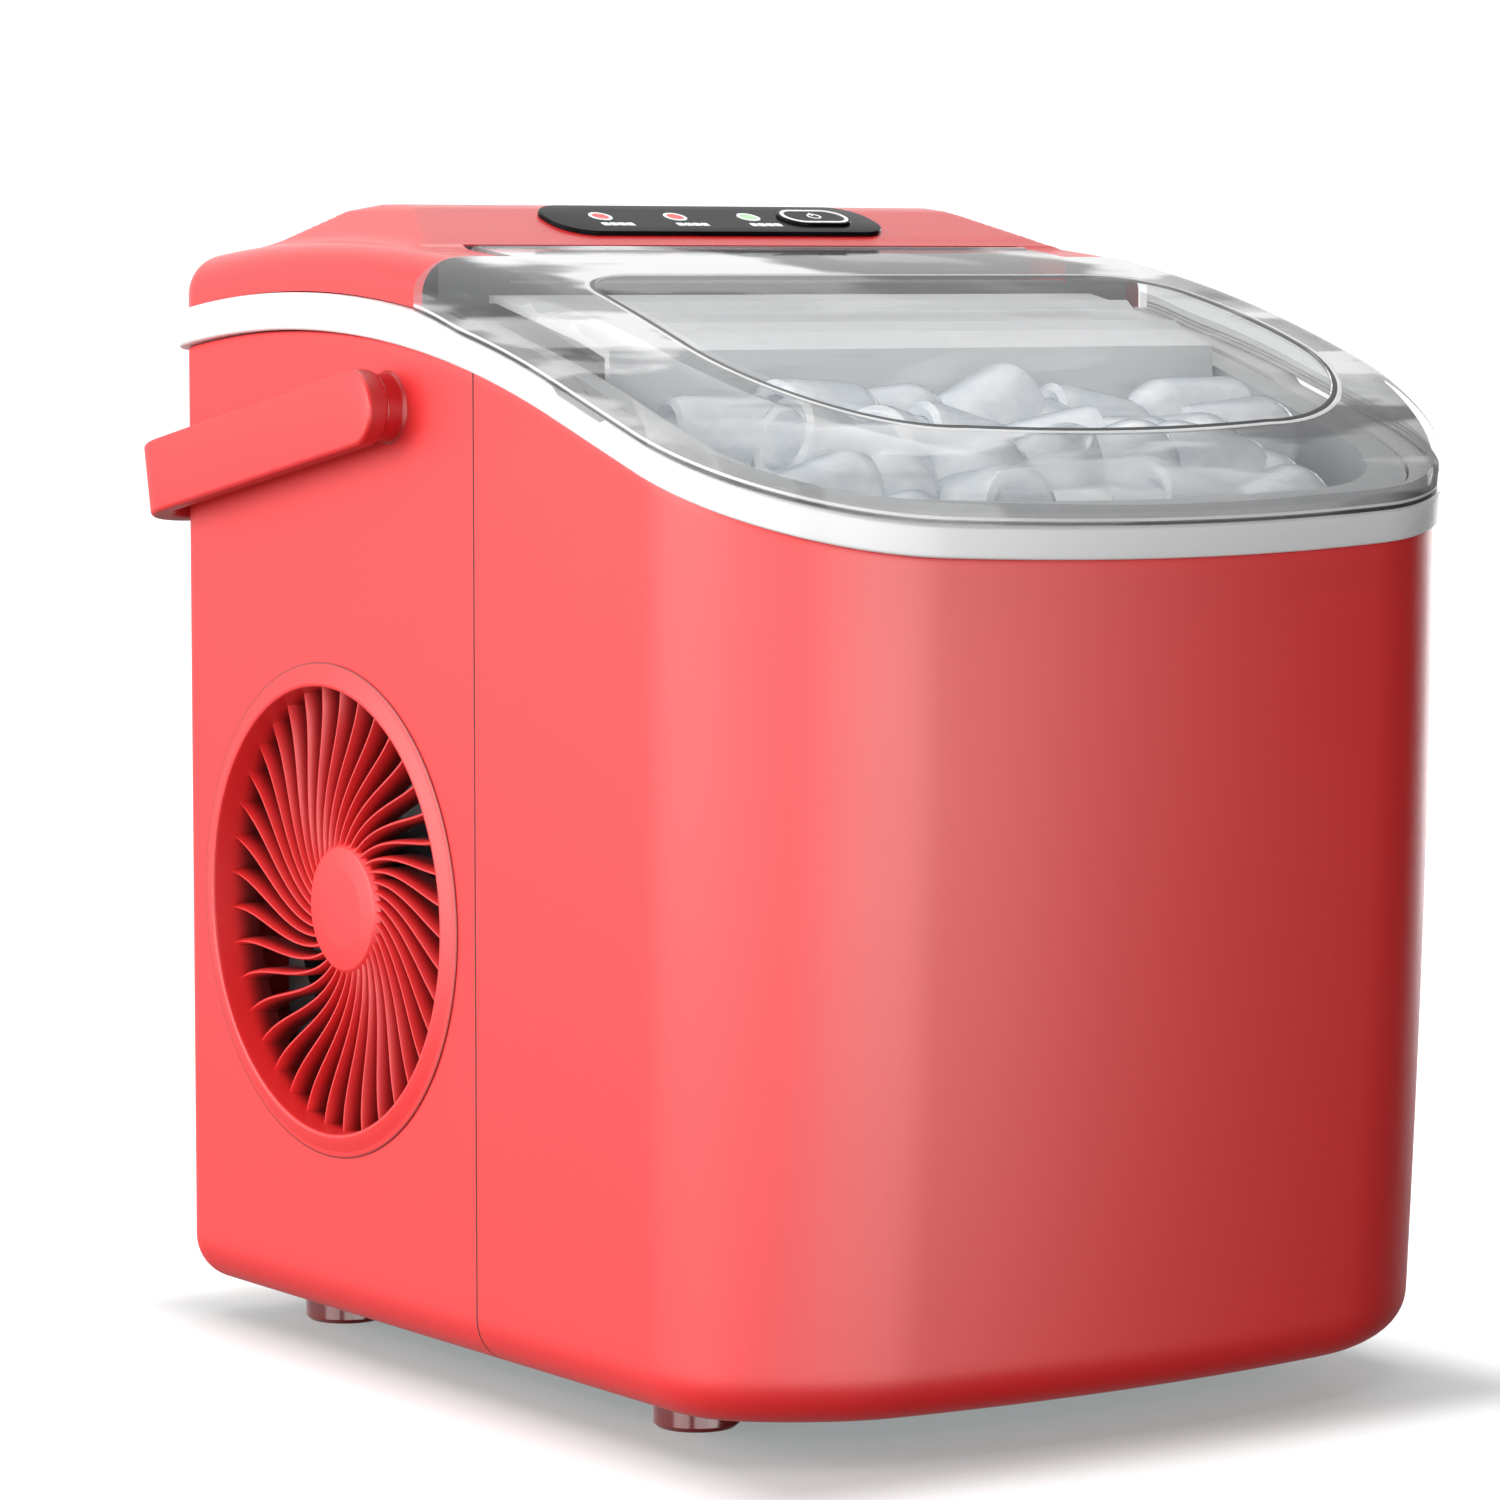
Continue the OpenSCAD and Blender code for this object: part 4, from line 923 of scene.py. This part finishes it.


# Painted shade: the strap is a darker red on its edges and its inner face
red_handle = red_casing("satin red handle with painted shade", handle_painted_shade, colour(0.4, 0.006, 0.008))
# Painted shade: the bosses are a darker red all over
red_boss_painted_shade = moulded("red plastic darkened as painted shade", colour(0.42, 0.006, 0.008), colour(0.36, 0.005, 0.006), 0.35)
handle_mesh().make("handle_strap", red_handle, body="handle", replaces=["carry_handle"], sharp=50)
boss = fillet([(9.6, HALF - 0.4), (8.4, HALF + 0.7), (8.2, HALF + 4.6), (7.8, HALF + 5.2), (2.9, HALF + 5.2),
               (2.9, HALF + 9.4), (0, HALF + 9.4)], 0.4)
for s, side in ((-1, "left"), (1, "right")):
    lathe_object(side + "_handle_boss", boss, red_boss_painted_shade, "x", (0, PIVOT_Y, PIVOT_Z), s, side + "_handle_pivot")

# ---------------------------------------------------------------------------
# Feet: dark red, slightly clear rubber discs, each pressed on a peg under a corner
# of the base pan.
# ---------------------------------------------------------------------------
foot_red = moulded("dark red rubber", colour(0.16, 0.012, 0.012), colour(0.1, 0.008, 0.008), 0.22, coat=0.3)
foot_profile = fillet(
    [(0, 0), (9.6, 0), (10.6, 1.0), (10.6, 7.0), (9.4, 8.5), (5, 8.5), (5, 11.6), (0, 11.6)], 0.5)
for end, y in (("front", FRONT + 81), ("rear", REAR - 34)):
    for side, x in (("left", -81), ("right", 81)):
        node = f"foot_{end}_{side}"
        lathe_object(node + "_disc", foot_profile, foot_red, "z", (x, y, 0), 1, node)

# ---------------------------------------------------------------------------
# Ice: bullet-shaped thimbles of cloudy ice heaped in the basket up to the lid.
# They rest in the basket and lift out with it.
# ---------------------------------------------------------------------------
# Painted light: the ice glows a little, and painted shade turns each piece blue-grey where it is seen edge-on
ice_net = Net("cloudy ice, painted glow and edge shade")
ice_cloud = ice_net.noise(120.0, 4.0)
ice_edge_painted_shade = ice_net.node("ShaderNodeLayerWeight", {}, {"Blend": 0.4}, 1).over(0.25, 0.9)
ice_tone = ice_net.mix(ice_cloud.over(0.35, 0.7), colour(0.86, 0.9, 0.94), colour(1.0, 1.0, 1.0))
ice = ice_net.set(Base_Color=ice_net.mix(ice_edge_painted_shade, ice_tone, colour(0.34, 0.39, 0.44)),
                  Roughness=ice_cloud.over(0.2, 0.8, 0.06, 0.16), Transmission_Weight=0.1, IOR=1.31,
                  Emission_Color=colour(0.9, 0.95, 1.0), Emission_Strength=0.09,
                  Alpha=ice_cloud.over(0.2, 0.8, 0.8, 0.98), Normal=ice_net.bump(ice_cloud, 0.3, 0.0008))


def bullet():
    """A thimble: outer radius 11.5 with a round nose, hollow to a wall of about 5 mm, and a soft rim."""
    a = np.linspace(0, PI / 2, 9)
    outer = [(11.5 * math.sin(t), 6 + 10.5 * math.cos(t)) for t in a]
    rim = [(11.7, -12.0), (11.2, -14.6), (9.4, -15.4), (7.6, -14.6), (7.0, -11.0)]
    inner = [(6.2, 0.0), (4.0, 5.5), (0.0, 7.0)]
    return Build().grid(lathe(outer + rim + inner, 28), wrap_u=True, flip=True)


def heap_top(x, y):
    """Height of the heap's upper layer: it follows the lid, lower to the sides and the front."""
    edge = ease((HALF - 16 - np.abs(x)) / 26) * ease((y - FRONT - 20) / 22)
    return lid_top(y) - 24.5 - 6 * (1 - edge)


def heap():
    """Places of the pieces as 4x4 matrices: staggered rows in layers, each piece moved and turned by chance.

    Those past the basket's walls, its sloping floor or the evaporator above its rear are left out.
    """
    rng = np.random.default_rng(11)
    places = []
    for layer, row, col in np.ndindex(4, 5, 8):
        x = (col - 3.5) * 22.0 + (11.0 if row % 2 else 0.0) + rng.uniform(-3, 3)
        y = FRONT + 36 + row * 16.0 + rng.uniform(-2, 2)
        z = heap_top(x, y) - layer * 17 - rng.uniform(0, 7)
        wall = HALF - 34 - 12 * (1 - ease((y - FRONT - 24) / 20))
        if abs(x) > wall or (y > FRONT + 64 and z < 222) or y > WING - 68:
            continue
        heading, tilt = rng.uniform(0, 2 * PI), rng.uniform(1.2, 1.95)
        if y > WING - 78:
            heading = PI * round(heading / PI) + PI / 2 + rng.uniform(-0.3, 0.3)
        turn = Matrix.Rotation(heading, 4, "Z") @ Matrix.Rotation(tilt, 4, "X")
        turn.translation = (x, y, z)
        places.append(np.array(turn))
    return np.array(places)


def ice_mesh(piece, places):
    """One mesh of the piece at each place: R p + t."""
    points = np.einsum("nij,pj->npi", places[:, :3, :3], piece.points) + places[:, None, :3, 3]
    offsets = (np.arange(len(places)) * len(piece.points))[:, None, None]
    add_mesh("ice", points.reshape(-1, 3), (piece.faces + offsets).reshape(-1, 4), ice, body="basket")


ice_mesh(bullet(), heap())

# ---------------------------------------------------------------------------
# Finishes of the pieces inside, and of the screws, the cord's gland and the drain plug
# outside: bare metals, insulating foam, plain plastics, black enamel on the compressor,
# coated sheet steel and circuit boards.
# ---------------------------------------------------------------------------


def metal(name, base, worn, gloss, noise, spread=(0.3, 0.7)):
    """Bare metal whose tone and gloss follow one noise."""
    net = Net(name)
    wear = net.noise(*noise)
    tone = net.mix(wear.over(*spread), base, worn)
    return net.set(Base_Color=tone, Metallic=1.0, Roughness=wear.over(0.2, 0.8, *gloss))


steel = metal("brushed steel", colour(0.5, 0.5, 0.51), colour(0.62, 0.62, 0.63), (0.25, 0.38),
              (400.0, 3.0, (1, 1, 12)))
copper = metal("copper", colour(0.72, 0.36, 0.2), colour(0.45, 0.2, 0.11), (0.2, 0.42), (60.0, 4.0),
               (0.35, 0.75))
nickel = metal("nickel", colour(0.66, 0.64, 0.6), colour(0.55, 0.53, 0.5), (0.12, 0.24), (80.0, 3.0))
foam = moulded("insulating foam", colour(0.75, 0.68, 0.42), colour(0.62, 0.55, 0.32), 0.85,
               grain=0.0004, size=500.0)
liner = moulded("liner plastic", colour(0.62, 0.63, 0.64), colour(0.56, 0.57, 0.58), 0.32)
pale = moulded("pale grey plastic", colour(0.86, 0.87, 0.88), colour(0.8, 0.81, 0.82), 0.35)
basket = moulded("basket plastic", colour(0.78, 0.79, 0.8), colour(0.72, 0.73, 0.74), 0.3)
enamel = moulded("black enamel", colour(0.02, 0.02, 0.021), colour(0.014, 0.014, 0.015), 0.25, grain=0.00005)
pan = moulded("coated sheet steel", colour(0.12, 0.125, 0.13), colour(0.1, 0.1, 0.105), 0.4, grain=0.00005)
board = moulded("circuit board", colour(0.02, 0.16, 0.06), colour(0.015, 0.12, 0.045), 0.3, coat=0.4,
                grain=0.0001, size=900.0)
silicone = moulded("silicone hose", colour(0.6, 0.62, 0.62), colour(0.52, 0.54, 0.54), 0.4)
red = moulded("satin red plastic", colour(0.74, 0.014, 0.016), colour(0.68, 0.01, 0.012), 0.42,
              Specular_IOR_Level=0.6)
dark_plastic = moulded("black plastic", colour(0.025, 0.025, 0.027), colour(0.018, 0.018, 0.02), 0.45)
FINISHES = {
    steel: ["lid_hinge_pins", "casing_screws", "water_level_sensor", "condenser"],
    copper: ["filter_drier", "discharge_tube", "suction_tube", "capillary_tube", "hot_gas_valve"],
    nickel: ["evaporator"], foam: ["insulation"], liner: ["inner_liner"], basket: ["ice_basket"],
    pale: ["evaporator_cover", "evaporator_bracket", "water_tray", "ice_shovel", "drain_fitting",
           "tray_motor"],
    enamel: ["compressor"], pan: ["base_pan"], board: ["control_board", "power_board"],
    silicone: ["water_hose"],
    red: ["drain_plug"],
    dark_plastic: ["fan_shroud", "fan_blade", "fan_motor", "water_pump", "ice_full_sensors", "cord_gland",
                   "compressor_mounts"],
}
for material, nodes in FINISHES.items():
    for node in nodes:
        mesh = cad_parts[node].data
        mesh.materials.clear()
        mesh.materials.append(material)

# ---------------------------------------------------------------------------
# Setting: a sheet of white paper that curves up behind the machine, soft boxes
# round it, a plain sky, and a camera a little above the machine's middle.
# ---------------------------------------------------------------------------


def beyond(net, axis, limit):
    """How far a point lies outside the machine's footprint along one axis."""
    return (net.part(axis).op("ABSOLUTE") - limit).op("MAXIMUM", 0.0)


# The paper glows evenly, except for a painted shadow round the machine's footprint
paper_net = Net("white paper with painted shadow")
paper_grain = paper_net.noise(300.0, 3.0)
beyond_x, beyond_y = beyond(paper_net, 0, 0.1), beyond(paper_net, 1, 0.135)
painted_shadow_fade = (beyond_x * beyond_x + beyond_y * beyond_y).op("SQRT").over(0.0, 0.04)
paper_tone = paper_net.mix(paper_grain, colour(0.31, 0.32, 0.32), colour(0.34, 0.35, 0.35))
paper_glow_painted_shadow = paper_net.mix(painted_shadow_fade, colour(0.33, 0.35, 0.35), colour(0.98, 1.0, 1.0))
paper = paper_net.set(Base_Color=paper_tone, Roughness=0.7, Emission_Color=paper_glow_painted_shadow, Emission_Strength=0.82)


def floor_points(radius=900.0, turn=math.radians(34.5)):
    """A level sheet, then a quarter turn (sin a, 1 - cos a) and an upright, turned about z."""
    sweep = [(-2500.0, 0.0), (radius, 0.0)]
    for a in np.linspace(0, PI / 2, 20)[1:]:
        sweep.append((radius + radius * math.sin(a), radius - radius * math.cos(a)))
    sweep.append((2 * radius, 3200.0))
    along, height = np.array(sweep).T[:, :, None]
    across = np.linspace(-3500, 3500, 3)
    return np.stack([across * math.cos(turn) + along * math.sin(turn),
                     -across * math.sin(turn) + along * math.cos(turn), height + 0 * across], -1)


floor = Build().grid(floor_points()).make("floor", paper, body=None)
floor.visible_diffuse = False
floor.visible_glossy = False
floor.visible_shadow = False


def aimed(x, z, at):
    """A matrix whose columns are x, the y square to both, z and the place."""
    return Matrix(np.column_stack([x, np.cross(z, x), z, at]).tolist() + [[0, 0, 0, 1]])


def softbox(name, at, aim, size, power):
    """A rectangular light that faces the point aim; its size is a width and a height in metres."""
    data = bpy.data.lights.new(name, "AREA")
    data.shape = "RECTANGLE"
    data.size, data.size_y = size
    data.energy = power
    light = bpy.data.objects.new(name, data)
    scene.collection.objects.link(light)
    z = np.subtract(at, aim)
    z /= np.linalg.norm(z)
    x = np.cross((0, 0, 1), z)
    light.matrix_world = aimed(x / np.linalg.norm(x), z, at)
    return light


softbox("left light", (-2.1, 0.8, 0.6), (0, 0, 0.15), (1.9, 1.6), 47)
softbox("side sheen", (-1.9, -0.6, 0.15), (0, 0, 0.15), (1.5, 1.7), 34).visible_diffuse = False
softbox("front light", (-1.1, -1.9, 0.15), (0, 0, 0.15), (2.0, 1.7), 35).visible_glossy = False
softbox("corner sheen", (-0.85, -2.0, 0.1), (0, 0, 0.15), (1.3, 1.7), 34).visible_diffuse = False
softbox("front sheen", (0.3, -2.2, 0.1), (0, 0, 0.15), (1.1, 1.7), 36).visible_diffuse = False
softbox("right light", (1.9, 0.9, 0.4), (0, 0, 0.15), (0.6, 1.2), 16)
softbox("top light", (0.0, 0.3, 1.9), (0, 0, 0.2), (2.4, 2.0), 30)

# The sky that lights the machine is bright behind it on the left and dim in front on the
# right, smoothstep(d . (-0.3, 0.95, 0.1)), and dimmer below; the camera sees plain white.
world = bpy.data.worlds.new("studio")
world.use_nodes = True
sky = world.node_tree
sky_nodes = [sky.nodes.new("ShaderNode" + kind) for kind in (
    "LightPath", "TexCoord", "VectorMath", "MapRange", "Mix", "SeparateXYZ", "MapRange", "Math")]
ray, direction, lean_back, fall, pick, parts, below, product = sky_nodes
lean_back.operation = "DOT_PRODUCT"
lean_back.inputs[1].default_value = (-0.3, 0.95, 0.1)
fall.interpolation_type = "SMOOTHSTEP"
sky.links.new(direction.outputs["Generated"], lean_back.inputs[0])
sky.links.new(lean_back.outputs["Value"], fall.inputs[0])
for key, value in ((1, -0.3), (2, 0.75), (3, 0.035), (4, 1.0)):
    fall.inputs[key].default_value = value
sky.links.new(direction.outputs["Generated"], parts.inputs[0])
sky.links.new(parts.outputs["Z"], below.inputs[0])
for key, value in ((1, -0.45), (2, 0.0), (3, 0.4), (4, 1.0)):
    below.inputs[key].default_value = value
product.operation = "MULTIPLY"
sky.links.new(fall.outputs[0], product.inputs[0])
sky.links.new(below.outputs[0], product.inputs[1])
sky.links.new(ray.outputs["Is Camera Ray"], pick.inputs[0])
sky.links.new(product.outputs[0], pick.inputs[2])
pick.inputs[3].default_value = 1.0
sky.links.new(pick.outputs[0], sky.nodes["Background"].inputs["Strength"])
sky.nodes["Background"].inputs["Color"].default_value = (1.0, 1.0, 1.0, 1.0)
scene.world = world
scene.view_settings.view_transform = "Standard"

# The camera's axes from its bearing and its height over the machine, both in degrees
yaw, pitch = math.radians(-34.516), math.radians(4.9735)
back = np.array([math.sin(yaw) * math.cos(pitch), -math.cos(yaw) * math.cos(pitch), math.sin(pitch)])
right = np.array([math.cos(yaw), math.sin(yaw), 0.0])
lens = bpy.data.cameras.new("camera")
lens.lens, lens.sensor_width = 132.67, 36.0
lens.clip_start, lens.clip_end = 0.05, 20.0
camera = bpy.data.objects.new("camera", lens)
scene.collection.objects.link(camera)
camera.matrix_world = aimed(right, back, (-0.80918, -1.14614, 0.27545))
scene.camera = camera
